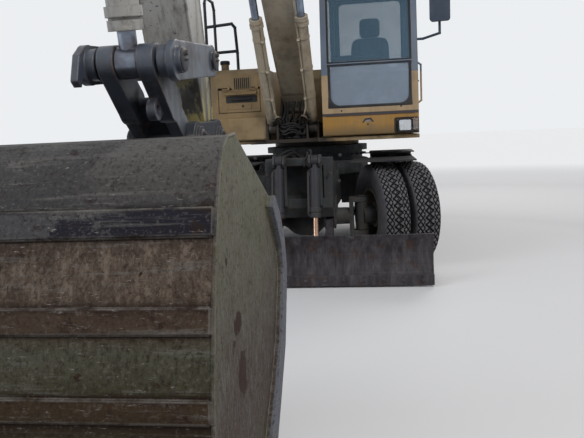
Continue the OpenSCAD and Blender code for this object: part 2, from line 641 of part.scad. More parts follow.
function cab_side(d) = [
    [-cab_front + d, deck_top + 10 + d], [-cab_front + d, bend_z],
    [-cab_front + rake * (cab_top - d - bend_z) / (cab_top - bend_z) + d, cab_top - d],
    [cab_back - d, cab_top - d], [cab_back - d, deck_top + 10 + d]];
cab_xm = (cab_x0 + cab_x1) / 2;
cab_w = cab_x1 - cab_x0;
bar_z = 2090;
door_y0 = -1080;
door_y1 = 140;
door_z0 = 1400;
door_z1 = 3040;

module cab_openings() {
    // Lower and upper front windows
    block(cab_x0 + 68, cab_x1 - 68, -cab_front - 20, -cab_front + 140, sill_z, bar_z - 22);
    block(cab_x0 + 68, cab_x1 - 68, -cab_front - 20, -cab_front + rake + 140, bar_z + 22, cab_top - 70);
    // Rear window
    block(cab_x0 + 90, cab_x1 - 90, cab_back - 100, cab_back + 20, 2160, cab_top - 90);
    // Right side window towards the boom
    block(cab_x0 - 20, cab_x0 + 80, -cab_front + rake + 60, cab_back - 120, 1900, cab_top - 90);
    // Left quarter window and the doorway
    block(cab_x1 - 80, cab_x1 + 20, door_y1 + 70, cab_back - 70, 2100, cab_top - 90);
    block(cab_x1 - 80, cab_x1 + 20, door_y0, door_y1, door_z0, door_z1);
}

module cab_frame() color("#d9a53a") place() {
    cab_shell();
    // Rubber mounts between the cab and the deck
    for (x = [cab_x0 + 120, cab_x1 - 120], y = [-cab_front + 150, cab_back - 120]) translate([x, y, deck_top])
        cylinder(r = 60, h = 11, $fn = 48);
    for (z = cab_knuckles) {
        translate([door_hinge[0], door_hinge[1], z + 35 + leaf_gap]) cylinder(r = 12, h = 40, $fn = 32);
        block(cab_x1 - 1, door_hinge[0] - 4, door_hinge[1], door_hinge[1] + 50, z + 35 + leaf_gap, z + 75 + leaf_gap);
    }
}
module cab_shell() difference() {
    side(cab_w, cab_xm) soft(18) polygon(cab_side(0));
    side(cab_w - 2 * cab_t, cab_xm) polygon(cab_side(cab_t));
    cab_openings();
    // Seam round the foot of the cab
    block(cab_x0 + 40, cab_x1 - 40, -cab_front - 10, -cab_front + 6, 1536, 1546);
}

module cab_roof() color("#cfa24a") place() {
    translate([0, 0, cab_top]) linear_extrude(48) soft(60)
        polygon([[cab_x0 + 12, -cab_front + rake - 20], [cab_x1 - 12, -cab_front + rake - 20],
                 [cab_x1 - 12, cab_back + 10], [cab_x0 + 12, cab_back + 10]]);
    // Hatch frame
    slab(cab_x0 + 160, cab_x1 - 160, -820, -120, cab_top + 47, cab_top + 66, 40);
}

// Glass panes in the fixed windows
pane = 8;
module cab_glass() color([0.6, 0.7, 0.75, 0.5]) place() {
    side(cab_w - 136, cab_xm) polygon([
        [-cab_front + 14, sill_z], [-cab_front + 14, bend_z], [-cab_front + 14 + lean(bar_z - 22), bar_z - 22],
        [-cab_front + 14 + pane + lean(bar_z - 22), bar_z - 22], [-cab_front + 14 + pane, bend_z], [-cab_front + 14 + pane, sill_z]]);
    side(cab_w - 136, cab_xm) polygon([
        [-cab_front + 14 + lean(bar_z + 22), bar_z + 22], [-cab_front + 14 + lean(cab_top - 70), cab_top - 70],
        [-cab_front + 14 + pane + lean(cab_top - 70), cab_top - 70], [-cab_front + 14 + pane + lean(bar_z + 22), bar_z + 22]]);
    block(cab_x0 + 90, cab_x1 - 90, cab_back - 24, cab_back - 24 + pane, 2160, cab_top - 90);
    block(cab_x0 + 16, cab_x0 + 16 + pane, -cab_front + rake + 60, cab_back - 120, 1900, cab_top - 90);
    block(cab_x1 - 24, cab_x1 - 24 + pane, door_y1 + 70, cab_back - 70, 2100, cab_top - 90);
}
// Distance the windscreen has leaned back at a height
function lean(z) = rake * (z - bend_z) / (cab_top - bend_z);

door_hinge = [cab_x1 + 20, door_y1 + 10];
door_t = 42;
cab_knuckles = [1500, 2880];
module cab_door() color("#d9a53a") place() {
    difference() {
        block(cab_x1 - door_t + 2, cab_x1 + 2, door_y0 + 6, door_y1 - 6, door_z0 + 6, door_z1 - 6);
        block(cab_x1 - 80, cab_x1 + 20, door_y0 + 70, door_y1 - 70, 1960, door_z1 - 70);
        block(cab_x1 - 80, cab_x1 + 20, door_y0 + 120, door_y1 - 120, 1560, 1890);
        block(cab_x1 - 8, cab_x1 + 20, door_y0 + 30, door_y0 + 60, 1900, 1930);
    }
    for (z = cab_knuckles) {
        block(cab_x1 + 1, cab_x1 + 14, door_y1 - 60, door_y1 + 4, z - 30, z + 30);
        translate([door_hinge[0], door_hinge[1], z]) cylinder(r = 12, h = 70, center = true, $fn = 32);
    }
    // Grab handle
    pipe([[cab_x1, door_y0 + 50, 1650], [cab_x1 + 40, door_y0 + 50, 1680], [cab_x1 + 40, door_y0 + 50, 2050], [cab_x1, door_y0 + 50, 2080]], 10);
}

module door_glass() color([0.6, 0.7, 0.75, 0.5]) place() {
    block(cab_x1 - 22, cab_x1 - 22 + pane, door_y0 + 70, door_y1 - 70, 1960, door_z1 - 70);
    block(cab_x1 - 22, cab_x1 - 22 + pane, door_y0 + 120, door_y1 - 120, 1560, 1890);
}

seat_x = 690;
module seat() color("#3b3d42") place() {
    block(seat_x - 180, seat_x + 180, -330, 130, deck_top + 10 + cab_t, 1560);
    slab(seat_x - 260, seat_x + 260, -420, 140, 1560, 1820, 60);
    side(480, seat_x) soft(40) polygon([[40, 1819], [110, 2520], [250, 2520], [190, 1819]]);
    side(260, seat_x) soft(40) polygon([[120, 2500], [140, 2760], [230, 2760], [245, 2500]]);
}

module controls() color("#2f3338") place() {
    // Armrest consoles with their levers
    for (s = [-1, 1]) {
        side(110, seat_x + s * 335) soft(25) polygon([[-480, 1860], [-460, 2000], [120, 1980], [120, 1560], [-80, 1560], [-120, 1860]]);
        translate([seat_x + s * 335, -400, 1980]) rotate([12, 0, 0]) cylinder(r = 18, h = 190, $fn = 24);
        block(seat_x + s * 335 - 60, seat_x + s * 335 + 60, 0, 100, deck_top + 10 + cab_t, 1561);
    }
    // Steering column with its wheel
    block(seat_x - 90, seat_x + 90, -1100, -950, deck_top + 10 + cab_t, deck_top + 40 + cab_t);
    along([-1020, deck_top + 30 + cab_t], [-800, 2080], seat_x) {
        cylinder(r = 55, h = 760, $fn = 32);
        translate([0, 0, 745]) rotate_extrude($fn = 48) translate([185, 0]) circle(r = 15, $fn = 24);
        translate([0, 0, 745]) for (i = [0 : 2]) rotate([0, 0, 90 + i * 120]) translate([0, -14, -6]) cube([185, 28, 12]);
    }
    // Monitor on its post at the right pillar
    block(cab_x0 + cab_t + 40, cab_x0 + cab_t + 280, -940, -900, 2020, 2200);
    block(cab_x0 + cab_t + 60, cab_x0 + cab_t + 90, -930, -905, deck_top + 10 + cab_t, 2021);
}

rail_r = 17;
module handrails() color("#2c2e30") place() {
    // Grab rail frame at the right front box
    x = box_x0 - 30;
    y = box_y0 + 60;
    pipe([[box_x0, y, 1650], [x, y, 1650], [x, y, 2880], [x, y + 60, 2960],
          [x, y + 360, 2960], [x, y + 420, 2880], [x, y + 420, 2020]], rail_r);
    pipe([[x, y, 2620], [x + 300, y, 2640], [x + 330, y + 20, 2600], [x + 330, y + 90, 2330], [x + 330, y + 90, 2140]], rail_r);
    bar([x, y + 4, 2330], [x + 328, y + 84, 2350], rail_r);
}

module mirror_head(w, h) soft(30) polygon([[-w / 2, -h / 2], [w / 2, -h / 2], [w / 2, h / 2], [-w / 2, h / 2]]);
module mirrors() color("#24272a") place() {
    // Left mirror on its arm from the cab front pillar
    xl = cab_x1 + 220;
    yl = -cab_front - 20;
    pipe([[cab_x1, -1130, 2300], [cab_x1 + 60, -1130, 2300], [xl, yl, 2330], [xl, yl, 2760]], 13);
    translate([xl, yl - 48, 2650]) rotate([90, 0, -10]) linear_extrude(56, center = true) mirror_head(200, 420);
    for (z = [2560, 2730]) block(xl - 15, xl + 15, yl - 30, yl, z - 14, z + 14);
    // Two right mirrors on a post from the lower front box
    xr = box_x0 - 110;
    yr = box_y0 - 10;
    pipe([[box_x0 - 40, yr, 1480], [xr, yr, 1480], [xr, yr, 2400]], 13);
    translate([xr - 20, yr - 46, 2210]) rotate([90, 0, 8]) linear_extrude(52, center = true) mirror_head(150, 360);
    translate([xr - 20, yr - 42, 1930]) rotate([90, 0, 8]) linear_extrude(44, center = true) mirror_head(120, 120);
    for (z = [1930, 2120, 2300]) block(xr - 15, xr + 15, yr - 30, yr, z - 14, z + 14);
}

module headlamps() color("#e7e7e2") place() for (p = [[cab_x1 - 145, -cab_front - 26, 1425], [box_x0 + 60, box_y0 - 86, 1400]]) {
    translate(p) rotate([90, 0, 0]) {
        linear_extrude(52, center = true) soft(22) square([150, 140], center = true);
        translate([0, 0, 25]) cylinder(r = 55, h = 8, $fn = 48);
    }
}

// Boom, stick and their cylinders

bend_point = foot_pin + (tip_pin - foot_pin) * 0.38 + 920 * [-(tip_pin - foot_pin)[1], (tip_pin - foot_pin)[0]] / len2(tip_pin - foot_pin) * -1;
low_dir = unit2(bend_point - foot_pin);
top_dir = unit2(tip_pin - bend_point);
low_n = [low_dir[1], -low_dir[0]];
top_n = [top_dir[1], -top_dir[0]];
mid_n = unit2(low_n + top_n);
low_l = len2(bend_point - foot_pin);
top_l = len2(tip_pin - bend_point);

module boom_outline() {
    offset(r = 150) offset(delta = -150) polygon([
        foot_pin + low_n * 125, foot_pin + low_dir * low_l * 0.5 + low_n * 225, bend_point + mid_n * 300,
        bend_point + top_dir * top_l * 0.4 + top_n * 250, tip_pin + top_n * 150,
        tip_pin - top_n * 125, bend_point + top_dir * top_l * 0.4 - top_n * 235, bend_point - mid_n * 270,
        foot_pin + low_dir * low_l * 0.5 - low_n * 215, foot_pin - low_n * 125]);
    translate(foot_pin) circle(r = 125, $fn = 64);
    translate(tip_pin) circle(r = 130, $fn = 64);
    strap(foot_pin, foot_pin + low_dir * 400, 120, 150);
    strap(tip_pin, tip_pin - top_dir * 500, 125, 150);
}

slot_l = 560;
module boom() color("#b99a55") place() {
    difference() {
        union() {
            side(boom_w, -boom_x) boom_outline();
            across(foot_pin, 120, boom_w + 10, -boom_x);
            // Bosses for the rods of the boom cylinders
            across(boom_rod_pin, 95, 2 * boom_cyl_x - eye_w(boom_rod_r) - 0.6, -boom_x);
            // Ears of the stick cylinder
            for (s = [-1, 1]) side(ear_t, -boom_x + s * (eye_w(stick_rod_r) / 2 + ear_gap + ear_t / 2)) {
                strap(stick_base_pin, stick_base_pin + [60, -200], 75, 130);
            }
        }
        // Fork that takes the stick
        side(stick_w + 12, -boom_x) polygon([
            tip_pin - top_dir * slot_l + top_n * 400, tip_pin - top_dir * slot_l - top_n * 300,
            tip_pin + top_dir * 300 - top_n * 300, tip_pin + top_dir * 300 + top_n * 400]);
        across(foot_pin, foot_r + fit, boom_w + 60, -boom_x);
    }
    across(tip_pin, pin_r + 5, boom_w + 20, -boom_x);
    across(stick_base_pin, pin_r, eye_w(stick_rod_r) + 2 * ear_gap + 2 * ear_t, -boom_x);
}

// Barrel of a cylinder with its base eye, neck, gland and collars
module barrel(p, q, x, l, r, rod_r, bore_r, eye_r = 70) {
    difference() {
        union() {
            across(p, eye_r, eye_w(rod_r), x);
            along(p, q, x) {
                cylinder(r = rod_r + 3, h = 130, $fn = 64);
                translate([0, 0, eye_r + 25]) cylinder(r = r, h = l - eye_r - 25, $fn = 64);
                translate([0, 0, l - 90]) cylinder(r = r + 10, h = 40, $fn = 64);
                translate([0, 0, l - 40]) cylinder(r = r + 6, h = 40, $fn = 64);
            }
        }
        across(p, bore_r, 400, x);
        along(p, q, x) {
            translate([0, 0, eye_r + 60]) cylinder(r = rod_r + rod_gap, h = l - eye_r - 120, $fn = 64);
            translate([0, 0, l - 80]) cylinder(r = rod_r + fit, h = 100, $fn = 64);
        }
    }
}

// Rod of a cylinder with its eye
module rod(p, q, x, start, rod_r, eye_r) {
    along(p, q, x) translate([0, 0, start]) cylinder(r = rod_r, h = len2(q - p) - start - eye_r * 0.6, $fn = 64);
    across(q, eye_r, eye_w(rod_r), x);
}

module boom_barrels() color("#c2a55a") place() for (s = [-1, 1])
    barrel(boom_base_pin, boom_rod_pin, -boom_x + s * boom_cyl_x, boom_barrel_l, boom_barrel_r, boom_rod_r, pin_r + fit);
module boom_rods() color("#8f9496") place() for (s = [-1, 1]) {
    rod(boom_base_pin, boom_rod_pin, -boom_x + s * boom_cyl_x, boom_rod_start, boom_rod_r, 68);
    // Head of the pin
    across(boom_rod_pin, 45, 30, -boom_x + s * (boom_cyl_x + eye_w(boom_rod_r) / 2 + 14));
}

module stick_barrel() color("#c2a55a") place()
    barrel(stick_base_pin, stick_rod_pin, -boom_x, stick_barrel_l, stick_barrel_r, stick_rod_r, pin_r + fit);
module stick_rod() color("#8f9496") place()
    rod(stick_base_pin, stick_rod_pin, -boom_x, stick_rod_start, stick_rod_r, 70);

module stick_outline() {
    offset(r = 60) offset(delta = -60) polygon([
        on_stick(-170, -60), on_stick(0, -150), on_stick(350, -230), on_stick(1100, -190), on_stick(stick_l - 60, -90),
        on_stick(stick_l - 10, -84), on_stick(stick_l - 10, 80), on_stick(1650, 95), on_stick(900, 190),
        on_stick(500, 240), on_stick(250, 250), on_stick(-100, 260)]);
    strap(tip_pin, stick_rod_pin, 160, 90);
    strap(on_stick(stick_l - rocker_up, 10), rocker_pin, 90, 74);
    translate(bucket_pin) circle(r = 88, $fn = 64);
}

module stick() color("#c6ad6e") place() {
    difference() {
        union() {
            side(stick_w, -boom_x) stick_outline();
            // Ears of the bucket cylinder
            for (s = [-1, 1]) side(ear_t, -boom_x + s * (eye_w(bucket_rod_r) / 2 + ear_gap + ear_t / 2))
                strap(bucket_base_pin, on_stick(bucket_base_s + 20, 180), 72, 140);
        }
        // Slot that takes the eye of the stick cylinder
        side(eye_w(stick_rod_r) + 2 * ear_gap, -boom_x) polygon([
            stick_rod_pin + [-160, -80], stick_rod_pin + [-160, 240], stick_rod_pin + [400, 300],
            stick_rod_pin + [520, -300], stick_rod_pin + [150, -172], stick_rod_pin + [60, -178],
            stick_rod_pin + [-30, -150]]);
        across(tip_pin, pin_r + 5 + fit, 400, -boom_x);
        across(rocker_pin, pin_r + fit, 400, -boom_x);
        across(bucket_pin, pin_r + fit, 400, -boom_x);
    }
    across(bucket_base_pin, pin_r, eye_w(bucket_rod_r) + 2 * ear_gap + 2 * ear_t, -boom_x);
    // Heads of the pin at the stick cylinder's eye
    for (s = [-1, 1]) across(stick_rod_pin, 48, 16, -boom_x + s * (stick_w / 2 + 7));
}

module bucket_barrel() color("#c6b27a") place()
    barrel(bucket_base_pin, joint_pin, -boom_x, bucket_barrel_l, bucket_barrel_r, bucket_rod_r, pin_r + fit);
module bucket_rod() color("#8f9496") place()
    rod(bucket_base_pin, joint_pin, -boom_x, bucket_rod_start, bucket_rod_r, 62);

// Two rocker plates on the pin through the stick
rocker_x = 178;
module rocker() color("#2b3038") place() {
    for (s = [-1, 1]) side(28, -boom_x + s * rocker_x) strap(rocker_pin, joint_pin, 72, 78);
    // Nose on the front of the plate on the machine's right
    side(28, -boom_x - rocker_x) offset(r = 8) offset(delta = -8) polygon([
        joint_pin + [-40, 66], joint_pin + [-92, 30], joint_pin + [-128, -70], joint_pin + [-96, -96],
        joint_pin + [-78, -58], joint_pin + [-30, -60]]);
    across(rocker_pin, pin_r, 2 * rocker_x + 50, -boom_x);
    for (s = [-1, 1]) {
        across(rocker_pin, 60, rocker_x - 14 - stick_w / 2 - 5, -boom_x + s * (rocker_x - 14 + stick_w / 2 + 5) / 2);
        across(joint_pin, 62, 62, -boom_x + s * (rocker_x - 22));
        across(joint_pin, 50, 24, -boom_x + s * (rocker_x + 24));
    }
}

// Cast power link between the rockers and the bucket
link_x = 112;
link_in = eye_w(bucket_rod_r) / 2 + ear_gap;
hook_pin = joint_pin + (link_pin - joint_pin) * 0.4 + [-88, -60];
link_way = unit2(link_pin - joint_pin);
link_n = [link_way[1], -link_way[0]];
module link_arm() offset(r = 40) offset(delta = -40) polygon([
    joint_pin + link_way * 150 + link_n * 68, joint_pin + link_way * 150 - link_n * 68,
    joint_pin + link_way * 290 - link_n * 40, link_pin - link_n * 52, link_pin + link_way * 30 - link_n * 45,
    link_pin + link_way * 30 + link_n * 45, link_pin + link_n * 52, joint_pin + link_way * 290 + link_n * 62]);
module power_link() color("#2b3038") place() {
    difference() {
        union() {
            // Two upper arms beside the rod's eye
            for (s = [-1, 1]) side(link_x - link_in, -boom_x + s * (link_x + link_in) / 2)
                strap(joint_pin, joint_pin + (link_pin - joint_pin) * 0.5, 70, 78);
            // Lower arms, waisted in the middle, with a web set back between them and the boss on the bucket
            for (s = [-1, 1]) side(52, -boom_x + s * (link_x - 26)) link_arm();
            side(2 * link_x - 60, -boom_x) strap(joint_pin + (link_pin - joint_pin) * 0.5 + [22, 10], link_pin, 22, 26);
            across(link_pin, 62, 2 * link_x - 6, -boom_x);
        }
        across(link_pin, pin_r + fit, 400, -boom_x);
        across(hook_pin, 30, 60, -boom_x + 60);
        // Room for the rod's eye
        side(2 * link_in, -boom_x) polygon([joint_pin + [-260, -120], joint_pin + [40, -130],
            joint_pin + [150, 30], joint_pin + [120, 300], joint_pin + [-260, 300]]);
    }
    // Lifting eye on the front of the link
    difference() {
        side(36, -boom_x + 60) strap(hook_pin + [45, 30], hook_pin, 46, 42);
        across(hook_pin, 22, 100, -boom_x + 60);
    }
}

// Bucket

// Outline of a bucket side, from the lip along the floor and the front wall to the top
lip = [-5640, 22];
bucket_outer = [
    lip, [-5880, 42], [-6055, 88], [-6185, 160], [-6290, 262], [-6355, 390], [-6378, 530], [-6362, 650],
    [-6331, 760], [-6291, 910], [-6240, 1050], [-6190, 1180], [-6140, 1270], [-6085, 1345], [-6010, 1385],
    [-5900, 1392], [-5315, 1124], [-5230, 1075],
    [-5190, 1000], [-5125, 890], [-5100, 760], [-5135, 640], [-5240, 425], [-5415, 255], [-5540, 130]];
shell_end = 17;
bucket_shell = [for (i = [0 : shell_end]) bucket_outer[i]];
// Inside of the shell, moved in by the plate's thickness along each corner's bisector
function inset(i) =
    let (p = bucket_outer[i], a = i > 0 ? unit2(p - bucket_outer[i - 1]) : unit2(bucket_outer[1] - p),
         b = i < shell_end ? unit2(bucket_outer[i + 1] - p) : a, t = unit2(a + b))
    p + [t[1], -t[0]] * bucket_t / max(0.6, a * t);

module bucket() color("#6a5a48") place() {
    side(bucket_w - 2 * bucket_t + 2, -boom_x) polygon(concat(bucket_shell, [for (i = [shell_end : -1 : 0]) inset(i)]));
    for (s = [-1, 1]) side(bucket_t, -boom_x + s * (bucket_w - bucket_t) / 2) polygon(bucket_outer);
    // Ears for the stick and the power link
    for (s = [-1, 1]) side(36, -boom_x + s * (stick_w / 2 + 6 + 18)) {
        polygon([[-5640, 1250], [-5400, 1330], [-5300, 1452], [-4870, 1468], [-4812, 1410], [-4815, 1330],
                 [-5010, 1180], [-5235, 1050], [-5320, 1105]]);
        translate(link_pin) circle(r = 80, $fn = 48);
        translate(bucket_pin) circle(r = 95, $fn = 48);
    }
    // Beam between the sides along the upper edge of the mouth
    side(bucket_w - 2 * bucket_t + 2, -boom_x) polygon([
        [-5420, 1165], [-5225, 1082], [-5205, 1030], [-5260, 1000], [-5400, 1068]]);
    for (p = [bucket_pin, link_pin]) {
        across(p, pin_r, stick_w + 12 + 72 + 20, -boom_x);
        for (s = [-1, 1]) across(p, 58, 16, -boom_x + s * (stick_w / 2 + 6 + 36 + 7));
    }
    // Wear strips welded across the front wall and the heel, each on a share of one facet
    for (w = [[1, 0.2, 0.75], [3, 0.25, 0.8], [5, 0.1, 0.6], [6, 0.28, 0.83], [8, 0.36, 0.85], [10, 0.32, 0.94]])
        strip(bucket_outer[w[0]], bucket_outer[w[0] + 1], w[1], w[2]);
    // Thick bars along the side edges of the mouth
    for (s = [-1, 1]) side(34, -boom_x + s * (bucket_w / 2 + 16)) polygon([
        [-5660, 20], [-5557, 100], [-5410, 236], [-5228, 415], [-5118, 640], [-5081, 761], [-5107, 895],
        [-5221, 1040], [-5325, 1122], [-5395, 1080], [-5300, 985], [-5200, 870], [-5172, 765], [-5205, 670],
        [-5310, 475], [-5480, 310], [-5640, 180], [-5740, 90], [-5760, 40]]);
    // Lip with its teeth
    block(-boom_x - bucket_w / 2 + 2, -boom_x + bucket_w / 2 - 2, lip[0] - 190, lip[0] + 20, lip[1] + 3, lip[1] + 43);
    for (i = [0 : 4]) translate([-boom_x + (i - 2) * (bucket_w - 110) / 4, 0, 0]) side(84) polygon([
        [lip[0] - 60, lip[1] + 60], [lip[0] - 60, lip[1] - 8], [lip[0] + 60, lip[1] - 12], [lip[0] + 170, lip[1] + 8],
        [lip[0] + 170, lip[1] + 18], [lip[0] + 40, lip[1] + 62]]);
}

// Wear strip on a share of a shell facet
module strip(p, q, from, to) {
    u = unit2(q - p);
    n = [-u[1], u[0]];
    l = len2(q - p);
    a = p + u * l * from;
    b = p + u * l * to;
    side(bucket_w - 24, -boom_x) polygon([a - n * 2, b - n * 2, b + n * 14, a + n * 14]);
}

chassis();
front_axle();
rear_axle_body();  // rear_axle
drive_shaft();
step_boxes();
mudguards();
knuckle_left();
knuckle_right();
tie_rod();
tyres_front_left();
rims_front_left();
tyres_front_right();
rims_front_right();
tyres_rear_left();
rims_rear_left();
tyres_rear_right();
rims_rear_right();
blade();
blade_barrels();
blade_rods();
deck();
counterweight();
engine_bay();
engine();
right_box();
cab_frame();
cab_roof();
cab_glass();
seat();
controls();
handrails();
mirrors();
headlamps();
cab_door();
door_glass();
hood();
left_door();
box_lid();
boom();
boom_barrels();
boom_rods();
stick();
stick_barrel();
stick_rod();
bucket();
bucket_barrel();
bucket_rod();
rocker();
power_link();
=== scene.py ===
"""Wheeled excavator with a front blade, twin tyres, a glazed cab and a wide bucket."""
import math

import bpy
import numpy as np
from mathutils import Matrix


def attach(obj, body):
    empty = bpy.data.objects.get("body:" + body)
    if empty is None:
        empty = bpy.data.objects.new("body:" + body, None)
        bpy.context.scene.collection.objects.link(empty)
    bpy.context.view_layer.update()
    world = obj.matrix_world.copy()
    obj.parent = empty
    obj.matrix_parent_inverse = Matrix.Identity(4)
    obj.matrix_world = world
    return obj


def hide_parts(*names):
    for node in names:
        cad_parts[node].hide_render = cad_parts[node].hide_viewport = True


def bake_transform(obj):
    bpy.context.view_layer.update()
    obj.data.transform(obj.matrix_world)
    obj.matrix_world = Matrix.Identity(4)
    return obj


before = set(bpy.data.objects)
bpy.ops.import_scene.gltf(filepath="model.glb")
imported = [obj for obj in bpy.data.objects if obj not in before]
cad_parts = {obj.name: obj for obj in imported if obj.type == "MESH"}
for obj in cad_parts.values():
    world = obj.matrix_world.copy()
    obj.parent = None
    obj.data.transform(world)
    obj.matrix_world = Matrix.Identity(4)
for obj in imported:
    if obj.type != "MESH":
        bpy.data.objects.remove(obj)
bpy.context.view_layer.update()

# Camera, floor and lights
# The picture was taken from the front left of the machine at about eye height, a little past the bucket.
# The floor is plain and pales into the air far away, and the light is soft as in a studio.

# The middle of the frame stands this far to the left of the slewing centre and this far in front of it, in mm
middle_left = 83.0
middle_front = 2019.0


def spot(x, y, z):
    """Point in metres from millimetres given sideways, backwards and up from the slewing centre."""
    return np.array([(x - middle_left) / 1000.0, (y + middle_front) / 1000.0, z / 1000.0])


eye = spot(783, -8083, 1383)
picture_width = 584.0
focal_pixels = 642.4
yaw = math.radians(8.05)
pitch = math.radians(7.51)
roll = 0.0455
side_way = np.array([math.cos(yaw), math.sin(yaw), 0.0])
ahead = np.array([-math.sin(yaw) * math.cos(pitch), math.cos(yaw) * math.cos(pitch), -math.sin(pitch)])
above = np.cross(side_way, ahead)
cam_right = side_way * math.cos(roll) - above * math.sin(roll)
cam_up = side_way * math.sin(roll) + above * math.cos(roll)
camera = bpy.data.objects.new("camera", bpy.data.cameras.new("camera"))
bpy.context.scene.collection.objects.link(camera)
bpy.context.scene.camera = camera
camera.matrix_world = Matrix([
    [cam_right[0], cam_up[0], -ahead[0], eye[0]],
    [cam_right[1], cam_up[1], -ahead[1], eye[1]],
    [cam_right[2], cam_up[2], -ahead[2], eye[2]],
    [0, 0, 0, 1]])
camera.data.sensor_width = 36.0
camera.data.lens = camera.data.sensor_width * focal_pixels / picture_width
camera.data.clip_end = 200.0
bpy.context.scene.view_settings.view_transform = "Standard"


class Wire:
    """One socket of a material. Sums, products and powers of wires add Math nodes to that material."""

    def __init__(self, tree, out):
        self.tree = tree
        self.out = out

    def node(self, kind, inputs, pick=0, stops=None, **settings):
        """Adds a node of a kind: settings first, then values or wires into its sockets; gives one output."""
        made = self.tree.nodes.new(kind)
        for key, value in settings.items():
            setattr(made, key, value)
        if stops:
            marks = made.color_ramp.elements
            while len(marks) < len(stops):
                marks.new(0.5)
            for mark, (place, tone) in zip(marks, stops):
                mark.position = place
                mark.color = (*tone, 1.0)
        for key, value in inputs.items():
            if isinstance(value, Wire):
                self.tree.links.new(value.out, made.inputs[key])
            else:
                made.inputs[key].default_value = value
        return Wire(self.tree, made.outputs[pick])

    def math(self, operation, *terms, clamp=False):
        """One Math node on this wire and further terms."""
        terms = dict(enumerate((self,) + terms))
        return self.node("ShaderNodeMath", terms, operation=operation, use_clamp=clamp)

    def __add__(self, other):
        return self.math("ADD", other)

    __radd__ = __add__

    def __mul__(self, other):
        return self.math("MULTIPLY", other)

    __rmul__ = __mul__

    def __sub__(self, other):
        return self.math("SUBTRACT", other)

    def __rsub__(self, other):
        return self.node("ShaderNodeMath", {0: other, 1: self}, operation="SUBTRACT")

    def clip(self):
        """This wire held between 0 and 1."""
        return self.math("ADD", 0.0, clamp=True)

    def ramp(self, low, high):
        """0 below low, 1 above high, and a straight line between them."""
        return self.node("ShaderNodeMapRange", {0: self, 1: low, 2: high, 3: 0.0, 4: 1.0})

    def most(self, other):
        """The larger of two wires."""
        return self.math("MAXIMUM", other)

    def blend(self, first, second):
        """The first colour where this wire is 0, and the second where it is 1."""
        first = first if isinstance(first, Wire) else (*first, 1.0)
        second = second if isinstance(second, Wire) else (*second, 1.0)
        return self.node("ShaderNodeMix", {0: self, 6: first, 7: second}, pick=2, data_type="RGBA")

    def axis(self, which):
        """One of the three values of these coordinates: 0 sideways, 1 backwards, 2 up."""
        return self.node("ShaderNodeSeparateXYZ", {0: self}, pick=which)

    def bump(self, strength, distance, under=None):
        """The normal of a surface with this wire as its height, over a softened normal if one is given."""
        looks = {"Strength": strength, "Distance": distance, "Height": self}
        return self.node("ShaderNodeBump", {**looks, "Normal": under} if under else looks)

    def noise(self, scale, detail, rough=0.55, stretch=(1.0, 1.0, 1.0)):
        """Cloudy noise from 0 to 1 on this wire's coordinates, stretched along each axis."""
        spread = self.node("ShaderNodeMapping", {0: self, 3: stretch}, vector_type="POINT")
        return self.node("ShaderNodeTexNoise", {"Vector": spread, "Scale": scale, "Detail": detail,
                                                "Roughness": rough})


def finish(name, specular=0.5, **plain):
    """Starts a material: gives it, its shader and the wire of the object's own coordinates."""
    made = bpy.data.materials.new(name)
    made.use_nodes = True
    tree = made.node_tree
    shader = tree.nodes["Principled BSDF"]
    shader.inputs["Specular IOR Level"].default_value = specular
    for key, value in plain.items():
        shader.inputs[key.replace("_", " ")].default_value = value
    place = Wire(tree, tree.nodes.new("ShaderNodeTexCoord").outputs["Object"])

    def wear(**looks):
        for key, wire in looks.items():
            tree.links.new(wire.out, shader.inputs[key.replace("_", " ")])

    return made, wear, place


def watched_rays(tree):
    """1 for what the camera, a mirror or a glass pane sees, and 0 for the light that falls on things."""
    rays = tree.nodes.new("ShaderNodeLightPath").outputs
    straight, glossy, through = (Wire(tree, rays["Is %s Ray" % kind])
                                 for kind in ("Camera", "Glossy", "Transmission"))
    return straight.most(glossy).most(through)


def pale_ground():
    """Matt ground that takes the object's shadow. Where it is watched, it pales into the air far away."""
    made, wear, place = finish("pale_floor", 0.1, Roughness=0.95, Emission_Strength=1.0)
    cloud = place.noise(0.35, 3.0)
    away = place.node("ShaderNodeVectorMath", {0: place}, pick="Value", operation="LENGTH")
    glow = away.ramp(4.5, 18.0).math("POWER", 0.8) * 0.72 * watched_rays(place.tree)
    pale = cloud.ramp(0.2, 0.8).blend((0.74, 0.74, 0.75), (0.70, 0.70, 0.71))
    wear(Base_Color=away.ramp(4.0, 10.0).blend(pale, (0.30, 0.30, 0.31)),
         Emission_Color=glow.blend((0.0, 0.0, 0.0), (1.0, 1.0, 1.0)))
    return made


def round_floor():
    """Flat disc: rings whose radius grows by an even factor from 1 m to 150 m, round the floor's middle."""
    radius = np.concatenate([[0.01], np.geomspace(1.0, 150.0, 30)])[:, None]
    turn = np.linspace(2 * math.pi, 0, 96, endpoint=False)[None, :]
    return np.stack(np.broadcast_arrays(radius * np.cos(turn), radius * np.sin(turn), 0.0 * radius), -1)


def skin(grid, ring=False, ends=False):
    """Faces of a grid of points: one quad for each cell, closed round the second index. If asked, they close
    round the first index too, or one flat face caps each of the two end rows."""
    rows, cols = grid.shape[:2]
    number = np.arange(rows * cols).reshape(rows, cols)
    number = np.concatenate([number, number[:, :1]], 1)
    if ring:
        number = np.concatenate([number, number[:1]], 0)
    quads = np.stack([number[:-1, :-1], number[:-1, 1:], number[1:, 1:], number[1:, :-1]], -1).reshape(-1, 4)
    caps = [number[0, :cols][::-1], number[-1, :cols]] if ends else []
    return grid.reshape(-1, 3), quads, caps


